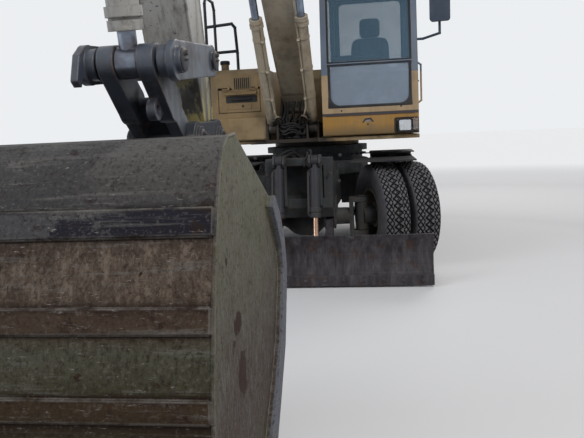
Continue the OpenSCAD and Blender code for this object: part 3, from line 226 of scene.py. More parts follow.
def piece(name, surfaces, finish_of, body=None, angle=35.0):
    """Joins surfaces, each (points, quads, caps), into one object that rides on a body."""
    points = np.concatenate([s[0] for s in surfaces])
    start = np.cumsum([0] + [len(s[0]) for s in surfaces[:-1]])
    quads = np.concatenate([s[1] + at for s, at in zip(surfaces, start)])
    caps = [cap + at for s, at in zip(surfaces, start) for cap in s[2]]
    mesh = bpy.data.meshes.new(name)
    mesh.from_pydata(points.tolist(), [], quads.tolist() + [cap.tolist() for cap in caps])
    mesh.update()
    mesh.polygons.foreach_set("use_smooth", np.ones(len(mesh.polygons), bool))
    mesh.set_sharp_from_angle(angle=math.radians(angle))
    mesh.materials.append(finish_of)
    made = bpy.data.objects.new(name, mesh)
    bpy.context.scene.collection.objects.link(made)
    if body:
        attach(made, body)
    return made


floor = piece("studio_floor", [skin(round_floor())], pale_ground())

world = bpy.data.worlds.new("studio_air")
bpy.context.scene.world = world
world.use_nodes = True
air = world.node_tree
seen = watched_rays(air)
sky = air.nodes["Background"].inputs
air.links.new(seen.blend((0.66, 0.70, 0.76), (0.84, 0.86, 0.88)).out, sky["Color"])
air.links.new((seen * 0.66 + 0.34).out, sky["Strength"])


def unit(way):
    """A direction, or each row of directions, brought to a length of 1."""
    return way / np.linalg.norm(way, axis=-1, keepdims=True)


def lamp(name, place, target, size, power, tone):
    """Square soft lamp at a place, turned to its target."""
    light = bpy.data.lights.new(name, "AREA")
    light.size = size
    light.energy = power
    light.color = tone
    made = bpy.data.objects.new(name, light)
    bpy.context.scene.collection.objects.link(made)
    out = unit(np.subtract(place, target))
    flat = unit(np.cross([0.0, 0.0, 1.0], out))
    up = np.cross(out, flat)
    made.matrix_world = Matrix([[flat[i], up[i], out[i], place[i]] for i in range(3)] + [[0, 0, 0, 1]])


lamp("high_key", (5.5, -9.0, 8.5), (0.0, 0.0, 1.4), 5.0, 950.0, (1.0, 0.985, 0.96))
lamp("left_fill", (-8.5, -6.5, 5.0), (0.0, -0.5, 1.4), 6.0, 420.0, (0.93, 0.96, 1.0))
lamp("back_rim", (3.5, 9.5, 7.5), (0.0, 0.0, 1.8), 5.0, 520.0, (1.0, 0.98, 0.95))

# Undercarriage
# A welded box frame of thick plate with the slew ring on top, two driven axles and a shaft between them.
# It was sprayed dark green, and years of mud, oil and grit have left it nearly black with rusty edges.


def coats(tone, *layers):
    """Lays coats over a colour in turn. Each is (wire that says where it lies, its share, its colour)."""
    for where, share, colour in layers:
        tone = (where * share).blend(tone, colour)
    return tone


def edges(place, radius):
    """How sharply the surface turns within a radius, 0 on flats and about 1 on edges, and its soft normal."""
    soft = place.node("ShaderNodeBevel", {"Radius": radius}, samples=4)
    true = place.node("ShaderNodeNewGeometry", {}, pick="Normal")
    flat = place.node("ShaderNodeVectorMath", {0: soft, 1: true}, pick="Value", operation="DOT_PRODUCT")
    return (1.0 - flat).ramp(0.004, 0.12), soft


def old_paint(name, fresh, faded, grime, bare, rough, dirty, worn, reach, lip=0.006, gloss=0.22, grease_and_shade=None):
    """Sprayed paint on steel: it fades in broad clouds, rain drags dirt down it, dust climbs from the ground
    to a reach, and edges and knocks are rubbed to bare or rusty steel. If asked, a ball round a point is
    blackened: grease, and painted shade under the boom foot."""
    made, wear, place = finish(name, gloss)
    blotch = place.noise(6.5, 9.0, 0.62)
    grit = place.noise(120.0, 5.0, 0.7)
    runs = place.noise(2.2, 7.0, 0.6, (5.0, 5.0, 0.45))
    drag = (runs.ramp(0.46, 0.70) * (0.75 * dirty)).clip()
    stain = (blotch.ramp(0.50, 0.66) * dirty * 0.8).clip()
    dust = ((reach - place.axis(2)) * 0.9 + (blotch - 0.5) * 1.8).clip() * (0.75 * dirty)
    rim, soft = edges(place, lip)
    chips = place.noise(19.0, 6.0, 0.6).ramp(0.655, 0.70)
    bald = ((rim * (blotch.ramp(0.36, 0.6) * 1.3)).most(chips * 0.9) * worn * 1.6).clip()
    rust = place.noise(48.0, 5.0).ramp(0.4, 0.62).blend(bare, (0.13, 0.055, 0.025))
    tone = coats(
        place.noise(1.3, 4.0).ramp(0.35, 0.68).blend(fresh, faded),
        (grit.ramp(0.3, 0.75), 0.22, grime),
        (drag, 1.0, grime),
        (stain, 1.0, tuple(c * 0.62 for c in grime)),
        (dust, 1.0, (0.115, 0.100, 0.085)),
        (bald, 1.0, rust))
    # Near black ball round the boom foot: grease and painted shade where the boom and its hoses shade the
    # paint.
    if grease_and_shade:
        heart, size = grease_and_shade
        away = place.node("ShaderNodeVectorMath", {0: place, 1: tuple(heart)}, "Value", operation="DISTANCE")
        oil_and_shade = (away * (1.0 / size) + (blotch - 0.5) * 0.9).ramp(1.05, 0.80)
        tone = coats(tone, (oil_and_shade, 0.93, (0.012, 0.011, 0.012)))
    dull = ((drag + dust + stain) * 0.22 + bald * 0.15 + rough).clip()
    relief = blotch * 0.5 + grit * 0.16 - bald * 0.5
    wear(Base_Color=tone, Roughness=dull, Normal=relief.bump(0.45, 0.004, soft))
    return made


frame_paint = old_paint("frame_paint", (0.032, 0.038, 0.040), (0.054, 0.060, 0.066), (0.022, 0.019, 0.020),
                        (0.095, 0.075, 0.065), rough=0.55, dirty=0.9, worn=0.6, reach=0.9)
black_paint = old_paint("black_paint", (0.018, 0.020, 0.026), (0.034, 0.037, 0.045), (0.034, 0.030, 0.029),
                        (0.105, 0.088, 0.078), rough=0.48, dirty=0.6, worn=0.5, reach=0.7)


def dress(finish_of, *names):
    """Gives CAD nodes a finish in their own material slots."""
    for name in names:
        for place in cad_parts[name].material_slots:
            place.material = finish_of


dress(frame_paint, "chassis", "front_axle", "rear_axle", "knuckle_left", "knuckle_right", "step_boxes")


def rubber(name, tone, dusty, level):
    """Moulded rubber or matt plastic: dull, with dust in clouds and fine grain."""
    made, wear, place = finish(name, 0.18)
    cloud = place.noise(5.0, 7.0, 0.6)
    grain = place.noise(260.0, 3.0)
    soft = edges(place, 0.004)[1]
    colour = (cloud.ramp(0.40, 0.68) * level).blend(tone, dusty)
    normal = (grain + cloud).bump(0.3, 0.001, soft)
    wear(Base_Color=colour, Roughness=cloud * 0.25 + 0.60, Normal=normal)
    return made


black_plastic = rubber("black_plastic", (0.020, 0.021, 0.024), (0.070, 0.066, 0.060), 0.5)
dress(black_plastic, "mudguards", "controls")


def hoop(run, lean, sides, start=0.0):
    """Directions of the points of a circle square to a run, or to each row of runs."""
    out = unit(np.cross(run, lean))
    other = np.cross(run, out)
    turn = np.linspace(0, 2 * math.pi, sides, endpoint=False)[:, None] + start
    return out[..., None, :] * np.cos(turn) + other[..., None, :] * np.sin(turn)


def turned(origin, axis, profile, sides, start=0.0):
    """Turned form: each (radius, height) of the profile is swept round the axis from the origin."""
    axis = unit(np.array(axis, float))
    lean = [0.0, 0.0, 1.0] if abs(axis[2]) < 0.9 else [1.0, 0.0, 0.0]
    profile = np.array(profile, float)[:, None]
    grid = origin + profile[..., :1] * hoop(axis, lean, sides, start) + profile[..., 1:] * axis
    return skin(grid, ends=True)


def bolts(places, axis, size, high):
    """Hexagon bolt heads on washers, each a six sided turned form with a chamfered top."""
    axis = np.array(axis, float)
    made = []
    for at in places:
        at = np.array(at, float)
        rise = size * high * 2
        washer = [(size * 1.25, 0), (size * 1.25, size * 0.28), (size, size * 0.30)]
        head = [(size, 0), (size, rise * 0.8), (size * 0.86, rise)]
        made.append(turned(at - axis * size * 0.1, axis, washer, 16))
        made.append(turned(at + axis * size * 0.15, axis, head, 6, float(at[0] * 37 % 1)))
    return made


X, Y, Z = np.eye(3)

ring_turn = np.linspace(0, 2 * math.pi, 36, endpoint=False)
ring_bolts = [spot(592 * math.cos(t), 592 * math.sin(t), 1108) for t in ring_turn]
piece("slew_ring_bolts", [turned(p, Z, [(0.017, 0), (0.017, 0.018), (0.014, 0.022)], 6) for p in ring_bolts],
      black_paint, "undercarriage")


bracket_spots = [spot(x * side, -2002, z)
                 for side in (1, -1) for x, z in ((407, 1169), (388, 924), (300, 1000))]
piece("bracket_bolts", bolts(bracket_spots, -Y, 0.014, 0.5), black_paint, "undercarriage")

# Wheels
# Each end of an axle carries a pair of tubeless truck tyres on disc rims with a spacer between them.
# The tyres are moulded rubber with a worn block tread. The rims are pressed, welded and bolted.

tyre_width = 0.27
tyre_radius = 0.525
tread_width = tyre_width * 0.86
twin_offset = 0.157


def tyre(centre, axis):
    """Tyre: a closed section carried round the axle. Along the tread the radius drops where the grooves run,
    which are two families of slanting lines that cross and leave lozenges, and one zigzag in the middle."""
    turn = np.linspace(0, 2 * math.pi, 576, endpoint=False)
    tread = np.linspace(-0.5, 0.5, 43)
    seat = 0.262
    shoulder = tyre_radius - 0.045
    sides = np.array([
        (seat, 0.104), (seat + 0.027, 0.104), (seat + 0.045, 0.119), (seat + 0.085, 0.131),
        (seat + 0.118, 0.1345), (tyre_radius - 0.095, 0.1345), (tyre_radius - 0.062, 0.132),
        (shoulder, 0.129), (shoulder + 0.013, 0.125), (shoulder + 0.023, 0.120)])
    cross = tread * tread_width
    crown = tyre_radius - 0.012 * (np.abs(tread) * 2) ** 5
    blocks = 48
    along = turn[:, None] * blocks / (2 * math.pi)
    bend = np.where(np.abs(cross) < 0.045, 1.0, 1.6)
    top_r = np.broadcast_to(crown, (len(turn), len(tread))).copy()
    for lean in (-1.0, 1.0):
        gap = np.abs((along + lean * cross / 0.075 * bend) % 1.0 - 0.5)
        top_r -= 0.014 * np.clip((0.165 - gap) / 0.06, 0, 1)
    zigzag = 0.012 * (np.abs(((along * 2) % 2) - 1) * 2 - 1)
    top_r -= 0.013 * np.clip(1.3 - np.abs(cross - zigzag) / 0.0045, 0, 1)
    top_r = np.maximum(top_r, crown - 0.015)
    side_r = np.broadcast_to(sides[:, 0], (len(turn), len(sides))).copy()
    notch = np.clip((0.2 - np.abs(along % 1.0 - 0.5)) / 0.08, 0, 1)
    side_r[:, -3:] -= 0.008 * notch * np.linspace(0.2, 1, 3)
    half = np.broadcast_to(sides[:, 1], side_r.shape)
    inner = np.array([(seat + 0.04, 0.092), (seat + 0.13, 0.113), (tyre_radius - 0.06, 0.111),
                      (tyre_radius - 0.036, 0.07)])
    back = np.broadcast_to(np.concatenate([inner, inner[::-1] * [1, -1]])[::-1], (len(turn), 8, 2))
    r = np.concatenate([side_r, top_r[:, ::-1], side_r[:, ::-1], back[..., 0]], 1)
    w = np.concatenate([half, np.broadcast_to(cross[::-1], top_r.shape), -half[:, ::-1], back[..., 1]], 1)
    spoke = np.cross(axis, Z) * np.cos(turn)[:, None] + Z * np.sin(turn)[:, None]
    grid = centre + r[..., None] * spoke[:, None] + w[..., None] * axis
    return skin(grid, ring=True)


def mark_tread(mesh, centre, axis):
    """Stores two values at each point of a pair of tyres: how far it lies below the crown, 1 at 11 mm, and
    whether it is on the tread. Both come from its distances to the axle and to the nearer tyre's middle."""
    flat = np.empty(len(mesh.vertices) * 3, dtype=np.float32)
    mesh.vertices.foreach_get("co", flat)
    apart = flat.reshape(-1, 3) - centre
    along = apart @ axis
    reach = np.linalg.norm(apart - along[:, None] * axis, axis=1)
    share = np.abs(np.abs(along) - twin_offset) / tread_width
    on_tread = (share < 0.505) & (reach > tyre_radius - 0.045)
    crown = tyre_radius - 0.012 * (np.clip(share, 0, 0.5) * 2) ** 5
    for name, value in (("groove", np.clip((crown - reach) / 0.011, 0, 1) * on_tread), ("tread", on_tread)):
        mesh.attributes.new(name, "FLOAT", "POINT").data.foreach_set("value", value.astype(np.float32))


def tube(points, radius, sides=10, rounds=3):
    """Round pipe along points: the corners are cut a few times into a smooth path, and a circle of the radius
    stands square to the path at each of its points."""
    path = np.array(points, float)
    for _ in range(rounds):
        inner = np.stack([path[:-1] * 0.75 + path[1:] * 0.25, path[:-1] * 0.25 + path[1:] * 0.75], 1)
        path = np.concatenate([path[:1], inner.reshape(-1, 3), path[-1:]])
    run = unit(np.gradient(path, axis=0))
    lean = [0.31, 0.23, 0.92] if abs(np.mean(run[:, 2])) < 0.8 else [0.93, 0.31, 0.2]
    return skin(path[:, None] + hoop(run, lean, sides) * radius, ends=True)


def tread_rubber():
    """Tyre rubber: grey with dust on the walls and on the faces of the blocks, and black in the grooves,
    which is painted shade.
    """
    made, wear, place = finish("tyre_rubber", 0.12)
    cloud = place.noise(7.0, 8.0, 0.65)
    grain = place.noise(180.0, 4.0)
    depth, tread = (place.node("ShaderNodeAttribute", {}, "Fac", attribute_name=name)
                    for name in ("groove", "tread"))
    dust = (cloud.ramp(0.40, 0.70) * 0.55).clip()
    # The grooves darken to near black with their depth: painted shade in the recesses.
    tone = coats(
        dust.blend((0.080, 0.077, 0.086), (0.165, 0.157, 0.160)),
        ((tread * 0.6 * (grain * 0.6 + cloud)).clip(), 1.0, (0.150, 0.142, 0.150)),
        (depth.ramp(0.22, 0.60), 1.0, (0.010, 0.009, 0.010)))
    wear(Base_Color=tone, Roughness=dust * 0.2 + 0.68, Normal=(grain * 0.4 + cloud).bump(0.4, 0.002))
    return made


tyre_rubber = tread_rubber()
rim_paint = old_paint("rim_paint", (0.130, 0.120, 0.105), (0.17, 0.155, 0.135), (0.060, 0.052, 0.045),
                      (0.12, 0.09, 0.07), rough=0.6, dirty=0.8, worn=0.5, reach=1.2)
steered = math.radians(20.0)
stud_circle = 0.160
cap_circle = 0.062
for end, y, knuckle, arm, steer in (("front", -1500, 580, 0.358, steered), ("rear", 1100, 938, 0.0, 0.0)):
    for side, left in (("_left", 1), ("_right", -1)):
        name = end + side
        out = np.array([math.cos(steer), math.sin(steer), 0.0]) * left
        centre = spot(left * knuckle, y, 525) + out * arm
        twins = [tyre(centre + out * twin_offset, out), tyre(centre - out * twin_offset, out)]
        pair = piece("tyre_pair_" + name, twins, tyre_rubber, "wheel_" + name, angle=28.0)
        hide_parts("tyres_" + name)
        mark_tread(pair.data, centre, out)
        around = np.linspace(0, 2 * math.pi, 10, endpoint=False) + 0.2
        forward = np.cross(out, Z)
        spokes = [forward * math.cos(t) + Z * math.sin(t) for t in around]
        studs = bolts([centre + out * 0.012 + spoke * stud_circle for spoke in spokes], out, 0.017, 0.9)
        caps = bolts([centre + out * 0.188 + spoke * cap_circle for spoke in spokes[::2]], out, 0.009, 0.5)
        stem = [centre + out * far + Z * high for far, high in ((0.02, 0.225), (0.05, 0.222), (0.13, 0.235))]
        piece("wheel_bolts_" + name, studs + caps + [tube(stem, 0.005, 8)], black_paint, "wheel_" + name)
        dress(rim_paint, "rims_" + name)

# Blade
# A curved mouldboard of thick plate, welded to two push arms and raised by two cylinders.
# Its face is bare, scratched by stones and rusty, and the bolted cutting edge is polished along the ground.


def bare_steel(name, dark, mid, pale, rust, scratch, gloss):
    """Worn plate: a skin of rust and dried soil in clouds, with scratches drawn along one direction."""
    made, wear, place = finish(name, 0.12)
    broad = place.noise(1.6, 6.0, 0.6)
    drawn = place.noise(5.0, 10.0, 0.72, scratch)
    fine = place.noise(26.0, 8.0, 0.75, scratch)
    blotch = place.noise(8.0, 9.0, 0.65)
    grit = place.noise(150.0, 4.0)
    rim, soft = edges(place, 0.008)
    between = tuple(0.5 * (a + b) for a, b in zip(mid, pale))
    tone = coats(
        drawn.node("ShaderNodeValToRGB", {0: drawn * 0.65 + broad * 0.35},
                   stops=[(0.34, dark), (0.47, mid), (0.60, between), (0.72, pale)]),
        (blotch.ramp(0.55, 0.66), 0.75, rust),
        (fine.ramp(0.60, 0.70), 0.45, pale),
        (fine.ramp(0.42, 0.30), 0.55, dark),
        (rim * blotch.ramp(0.3, 0.6), 0.7, pale))
    normal = (drawn * 0.5 + fine * 0.22 + grit * 0.1 + blotch * 0.4).bump(0.55, 0.004, soft)
    wear(Base_Color=tone, Roughness=(blotch * 0.35 + gloss - fine * 0.12).clip(),
         Metallic=fine.ramp(0.45, 0.7) * 0.35, Normal=normal)
    return made


blade_steel = bare_steel("blade_steel", (0.010, 0.008, 0.009), (0.034, 0.030, 0.033), (0.100, 0.095, 0.102),
                         rust=(0.050, 0.026, 0.018), scratch=(4.0, 4.0, 0.7), gloss=0.46)
dress(blade_steel, "blade")
edge_spots = [spot(x, -2470, 62) for x in np.linspace(-1130, 1130, 14)]
piece("blade_bolts", bolts(edge_spots, -Y, 0.014, 0.25), blade_steel, "blade")


def chrome(name, clean, oily):
    """Hard chrome on a ground rod: bright, with a film of oil and dust wiped along it."""
    made, wear, place = finish(name, 0.6)
    film = place.noise(4.0, 6.0, 0.6)
    wear(Base_Color=film.ramp(0.38, 0.62).blend(clean, oily), Roughness=film.ramp(0.35, 0.75) * 0.3 + 0.16,
         Metallic=1.0 - film.ramp(0.5, 0.8) * 0.4)
    return made


blade_chrome = chrome("blade_rod_chrome", (0.40, 0.26, 0.19), (0.20, 0.12, 0.08))
dress(blade_chrome, "blade_rods")
dress(black_paint, "blade_barrels")
hose_rubber = rubber("hose_rubber", (0.014, 0.014, 0.016), (0.050, 0.047, 0.043), 0.6)


def spots(*places):
    """A row of points in metres from places in millimetres."""
    return [spot(*place) for place in places]


def beside(start, end):
    """Gives a function of the points beside a cylinder: a distance along the line of its two pins, a place
    sideways and a distance square to that line."""
    way = np.subtract(end, start) / math.dist(start, end)

    def at(run, x, lift=0.0):
        return spot(x, *(np.array(start) + way * run + np.array([way[1], -way[0]]) * lift))

    return at


by_blade = beside((-2060, 1130), (-2240, 285))
supply = []
for x in (-170, 170):
    runs = ((96, x - 30), (96, x - 66), (150, x - 68), (440, x - 68), (520, x - 68), (524, x - 36))
    supply += [tube([by_blade(*run) for run in runs], 0.007),
               turned(by_blade(96, x - 56), X, [(0.013, 0), (0.013, 0.018)], 6),
               turned(by_blade(524, x - 60), X, [(0.013, 0), (0.013, 0.022)], 6)]
piece("blade_cylinder_pipes", supply, black_paint, "blade_barrels")
hoses = []
for x, high in ((-170, 1232), (170, 1232), (-130, 1205), (130, 1205)):
    hoses.append(tube(spots((x - 62, -2030, 1070), (x - 66, -2010, 1130), (x * 0.8, -1960, high - 20),
                            (x * 0.5, -1750, high), (x * 0.3, -1400, 1130), (x * 0.25, -1060, 1060),
                            (x * 0.22, -960, 984)), 0.011))
piece("blade_hoses", hoses, hose_rubber, "undercarriage")

# Upper structure
# Deck, housings and hood are folded sheet, sprayed yellow that has faded to beige on the housings.
# The counterweight is a thick casting. Doors hang on pin hinges and close with flush key latches.

arm_middle = -170
beige_paint = old_paint("beige_paint", (0.240, 0.160, 0.072), (0.290, 0.218, 0.128), (0.085, 0.060, 0.038),
                        (0.085, 0.060, 0.042), rough=0.44, dirty=0.34, worn=0.42, reach=0.5)
# The boom's near black ball round its foot is grease and painted shade.
arm_paint = old_paint("arm_paint", (0.340, 0.275, 0.185), (0.400, 0.355, 0.285), (0.080, 0.066, 0.052),
                      (0.090, 0.065, 0.050), rough=0.50, dirty=0.42, worn=0.50, reach=0.3,
                      grease_and_shade=(spot(arm_middle, -900, 1400), 0.34))
# The deck's near black ball round the boom foot is grease and painted shade cast by the boom and its hoses.
deck_grease_and_shade_paint = old_paint("deck_grease_and_shade_paint", (0.240, 0.160, 0.072), (0.290, 0.218, 0.128), (0.070, 0.050, 0.034),
                         (0.085, 0.065, 0.050), rough=0.48, dirty=0.60, worn=0.50, reach=0.5,
                         grease_and_shade=(spot(arm_middle, -760, 1380), 0.64))
dress(beige_paint, "counterweight", "engine_bay", "hood", "left_door", "right_box", "box_lid")
dress(deck_grease_and_shade_paint, "deck")
dress(black_paint, "handrails", "drive_shaft", "engine")
# The rod chrome is tinted blue: painted reflection of the sky.
rod_chrome = chrome("rod_chrome", (0.30, 0.37, 0.47), (0.11, 0.11, 0.13))
dress(rod_chrome, "boom_rods", "stick_rod", "bucket_rod", "tie_rod")


def bent_plate(outline, thick, along, flat, up, origin, lip):
    """Plate: an outline in two directions, given a thickness along the third, with its rims chamfered."""
    outline = np.array(outline, float)
    middle = outline.mean(0)
    small = middle + (outline - middle) * (1 - lip / np.abs(outline - middle).max())
    levels = [(small, 0.0), (outline, lip), (outline, thick - lip), (small, thick)]
    along, flat, up = (np.array(v, float) for v in (along, flat, up))
    grid = np.stack([origin + ring[:, :1] * flat + ring[:, 1:] * up + high * along for ring, high in levels])
    if np.dot(np.cross(flat, up), along) * np.sign(area(outline)) < 0:
        grid = grid[:, ::-1]
    return skin(grid, ends=True)


def area(outline):
    """Signed area of an outline."""
    x, y = outline[:, 0], outline[:, 1]
    return 0.5 * float(np.sum(x * np.roll(y, -1) - y * np.roll(x, -1)))


def rounded(wide, high, radius, steps=5):
    """Outline of a rectangle with round corners, centred on 0, as points in order."""
    turn = np.linspace(0, math.pi / 2, steps)
    corner = np.stack([np.cos(turn), np.sin(turn)], -1) * radius
    parts = []
    for i, (sx, sy) in enumerate([(1, 1), (-1, 1), (-1, -1), (1, -1)]):
        c, s = math.cos(i * math.pi / 2), math.sin(i * math.pi / 2)
        spun = corner @ np.array([[c, s], [-s, c]])
        parts.append(spun + [sx * (wide / 2 - radius), sy * (high / 2 - radius)])
    return np.concatenate(parts)


# Boom cylinders' pipes and the bundle of hoses in front of the boom's foot
by_boom = beside((-900, 1450), (-2200, 3250))
along_boom = by_boom(1000, 0) - by_boom(0, 0)
off_boom = by_boom(0, 0, -1) - by_boom(0, 0)
clip_band = [(0.0605, -0.011), (0.0645, -0.011), (0.0645, 0.011), (0.0605, 0.011)]
clips, steel = [], []
for s, x in ((-1, -395), (1, 55)):
    near = x - s * 46
    for runs in (((1262, x - s * 30, -34), (1266, x - s * 52, -62), (1180, near, -56), (620, near, -56),
                  (330, near, -60), (262, x - s * 66, -100), (190, x - s * 84, -96), (110, x - s * 92, -52)),
                 ((150, x - s * 20, -52), (156, x - s * 40, -88), (230, x - s * 60, -120),
                  (240, x - s * 104, -108), (150, x - s * 122, -60), (60, x - s * 124, -20))):
        steel.append(tube([by_boom(*run) for run in runs], 0.009))
    for run in (420, 760, 1100):
        clips.append(bent_plate(rounded(0.030, 0.036, 0.004), 0.022, Y, X, Z,
                                by_boom(run, near, -58) - Y * 0.011, 0.002))
        clips.append(turned(by_boom(run, x), along_boom, clip_band, 40))
    clips.append(turned(by_boom(1262, x - s * 34, -38), off_boom, [(0.016, 0), (0.016, 0.020)], 6))
piece("boom_cylinder_pipes", steel + clips, arm_paint, "boom_barrels")

bundle, ends = [], []
for i in range(15):
    x = -330 + i * 22 + 9 * math.sin(i * 4.1)
    lean = 46 * math.sin(i * 2.4 + 0.6)
    drop = 48 * math.cos(i * 1.7 + 0.4)
    deep = 26 * math.sin(i * 3.3)
    way = spots((x + lean * 0.6, -700, 1420 + drop * 0.5), (x + lean, -742, 1505 + drop),
                (x + lean * 0.3, -806 - deep * 0.5, 1530 + drop), (x - lean * 0.6, -905 - deep, 1462 + drop),
                (x - lean, -952 - deep, 1392 + drop * 0.4), (x - lean * 0.7, -905, 1349))
    bundle.append(tube(way, (0.0095, 0.0125, 0.0110)[i % 3]))
    ends.append(turned(spot(x - lean * 0.7, -908, 1340), Z, [(0.018, 0), (0.018, 0.020), (0.014, 0.024)], 6))
for i in range(6):
    x = -290 + i * 42
    swing = 34 * math.sin(i * 2.9)
    bundle.append(tube(spots((x, -780, 1352), (x + 12 + swing, -858, 1415), (x - 10 + swing, -905, 1512),
                             (x * 0.9 - swing, -862, 1618), (x * 0.8 - 30, -740, 1745)), 0.013))
for i in range(5):
    high = 1392 + i * 24
    swing = 30 * math.sin(i * 2.2)
    way = spots((-345, -905 - i * 4, high + 30), (-270, -985 + swing * 0.4, high - 22 + swing),
                (-165 + swing, -1000 - swing * 0.3, high + 26), (-70, -985 - swing * 0.4, high - 24 - swing),
                (8, -905 - i * 4, high + 20))
    bundle.append(tube(way, (0.0105, 0.0085)[i % 2]))
piece("foot_hoses", bundle, hose_rubber, "upper")
piece("foot_fittings", ends, black_paint, "upper")

# Face of the right front box: a grille of eight slots, a visor over the lid's handle, and a key latch
box_face = -858
box_middle = -751


def front_plate(wide, high, corner, thick, x, y, z, lip=0.002):
    """Plate with round corners that faces forwards, its middle at a place in millimetres."""
    return bent_plate(rounded(wide, high, corner), thick, -Y, X, Z, spot(x, y, z), lip)


grille = [front_plate(0.224, 0.150, 0.010, 0.005, box_middle, box_face, 1984)]
piece("box_grille_frame", grille, beige_paint, "upper")
slots = [front_plate(0.0125, 0.122, 0.005, 0.0035, box_middle - 70 + i * 22.8, box_face - 4.6, 1976, 0.001)
         for i in range(8)]
piece("box_grille_slots", slots, black_plastic, "upper")
lip_line = np.array([(0.0, 0.0), (0.040, -0.022), (0.047, -0.030), (0.047, -0.044), (0.042, -0.044),
                     (0.038, -0.030), (0.0, -0.010)])
rows = [spot(x, box_face - 1, 1892) - Y * lip_line[:, :1] * deep + Z * lip_line[:, 1:]
        for x, deep in ((-934, 0.5), (-930, 1.0), (-573, 1.0), (-569, 0.5))]
piece("lid_visor", [skin(np.stack(rows), ends=True)], beige_paint, "box_lid")
recess = [front_plate(0.357, 0.074, 0.008, 0.006, box_middle, box_face, 1800)]
piece("lid_handle_recess", recess, black_plastic, "box_lid")
grip = spots((-860, -863, 1796), (-855, -884, 1796), (-640, -884, 1796), (-635, -863, 1796))
piece("lid_handle", [tube(grip, 0.007)], black_paint, "box_lid")
cover = [front_plate(0.276, 0.052, 0.008, 0.005, box_middle - 27, box_face, 1715)]
piece("lid_latch_plate", cover, beige_paint, "box_lid")
key = [(0.014, 0), (0.014, 0.004), (0.010, 0.008), (0.004, 0.008), (0.004, 0.004)]
piece("lid_key", [turned(spot(-738, -862, 1722), -Y, key, 20)], black_paint, "box_lid")
cap = [(0.054, 0), (0.056, 0.004), (0.056, 0.034), (0.050, 0.042), (0.020, 0.044)]
piece("filler_cap", [turned(spot(-960, -680, 2208), Z, cap, 28)], black_plastic, "upper")

# Cab
# A welded tube frame with a folded skin, yellow below the windows and dark grey above them.
# Tinted glass is glued in with black rubber; inside stand the seat, two consoles and the column.

cab_front = -1230
cab_rear = 480
cab_right = 190
cab_left = 1190


def cab_skin():
    """Cab paint in two colours: dark grey above a line, with a blue cast that is painted sky reflection, and
    yellow below it, paler above the open seam of the lower front panel, whose near black band is painted
    shade, and dirty along the foot."""
    made, wear, place = finish("cab_two_tone", 0.45)
    blotch = place.noise(6.0, 8.0, 0.62)
    broad = place.noise(1.5, 4.0).ramp(0.35, 0.7)
    grit = place.noise(120.0, 4.0)
    runs = place.noise(2.4, 7.0, 0.6, (5.0, 5.0, 0.4))
    height = place.axis(2)
    front = place.axis(1).ramp(spot(0, cab_front + 11, 0)[1], spot(0, cab_front + 6, 0)[1])
    # Open seam of the lower front panel: a near black band of painted shade in the gap.
    open_seam_shade = height.ramp(1.546, 1.549) * (1.0 - height.ramp(1.576, 1.579)) * front
    yellow = coats(
        broad.blend((0.285, 0.145, 0.022), (0.315, 0.180, 0.045)),
        (height.ramp(1.576, 1.580), 0.9, (0.320, 0.235, 0.140)),
        (height.ramp(1.46, 1.37), 1.0, (0.140, 0.085, 0.028)))
    rim, soft = edges(place, 0.008)
    tone = coats(
        # Above the line the dark grey carries a blue cast: painted reflection of the sky.
        height.ramp(1.972, 1.978).blend(yellow, broad.blend((0.066, 0.097, 0.145), (0.120, 0.162, 0.225))),
        (runs.ramp(0.48, 0.70), 0.38, (0.115, 0.085, 0.055)),
        (blotch.ramp(0.52, 0.68), 0.30, (0.08, 0.065, 0.05)),
        (rim * blotch.ramp(0.46, 0.62), 0.55, (0.12, 0.075, 0.05)),
        (open_seam_shade, 0.95, (0.012, 0.014, 0.024)))
    normal = (blotch + grit * 0.2).bump(0.35, 0.003, soft)
    wear(Base_Color=tone, Roughness=(runs * 0.2 + blotch * 0.2 + 0.28).clip(), Normal=normal)
    return made


cab_paint = cab_skin()
dress(cab_paint, "cab_frame", "cab_door")
dress(beige_paint, "cab_roof")


def clear_glass():
    """Window glass: a blue tint and smears of dust, and below the mid rail a duller, paler and bluer film
    that is painted sky reflection.
    """
    made, wear, place = finish("cab_window_glass", 0.5, Roughness=0.04, IOR=1.45)
    smear = place.noise(3.0, 7.0, 0.65)
    height = place.axis(2)
    dust = ((2.12 - height) * 1.1).clip() * smear.ramp(0.3, 0.7)
    # Below the mid rail the glass turns paler, bluer and less clear: painted reflection of the sky over its
    # dust.
    lower = height.ramp(2.12, 2.09)
    film = (smear.ramp(0.45, 0.8) * 0.10 + dust * 0.40 + lower * 0.22 + 0.30).clip()
    tone = lower.blend((0.085, 0.165, 0.240), (0.235, 0.290, 0.365))
    wear(Base_Color=tone, Roughness=film * 0.2 + 0.02, Alpha=film + 0.06)
    return made


window_glass = clear_glass()
dress(window_glass, "cab_glass", "door_glass")


def pane(x0, x1, z0, z1, low, high):
    """Outline of a window in millimetres, with a radius for its lower corners and one for its upper ones."""
    turn = np.linspace(0, math.pi / 2, 8)
    parts = []
    for sx, sz, radius in ((1, 1, high), (-1, 1, high), (-1, -1, low), (1, -1, low)):
        arc = np.stack([np.cos(turn), np.sin(turn)] if sx * sz > 0 else [np.sin(turn), np.cos(turn)], -1)
        corner = [x1 if sx > 0 else x0, z1 if sz > 0 else z0]
        parts.append(corner + ([sx, sz] * (arc - 1)) * radius)
    return np.concatenate(parts)


def gasket(surface, outer, inner, proud=4.0, deep=22.0):
    """Strip round a window: flush at its outer outline, a little proud, and turned in towards the glass at
    its inner outline. The surface gives a point from sideways, up and depth in millimetres."""
    rings = [(outer, 0.5), (outer * 0.75 + inner * 0.25, proud), (outer * 0.3 + inner * 0.7, proud),
             (inner, proud * 0.5), (inner, -deep)]
    grid = np.stack([np.stack([surface(u, v, depth) for u, v in ring]) for ring, depth in rings])
    return skin(grid)


bend_height = 1980.0
top_lean = 160.0 / 1130.0


def cab_front_at(x, z, out):
    """Point on the cab's front, which leans back above the bend."""
    lean = max(0.0, z - bend_height) * top_lean
    return spot(x, cab_front + lean - out, z)


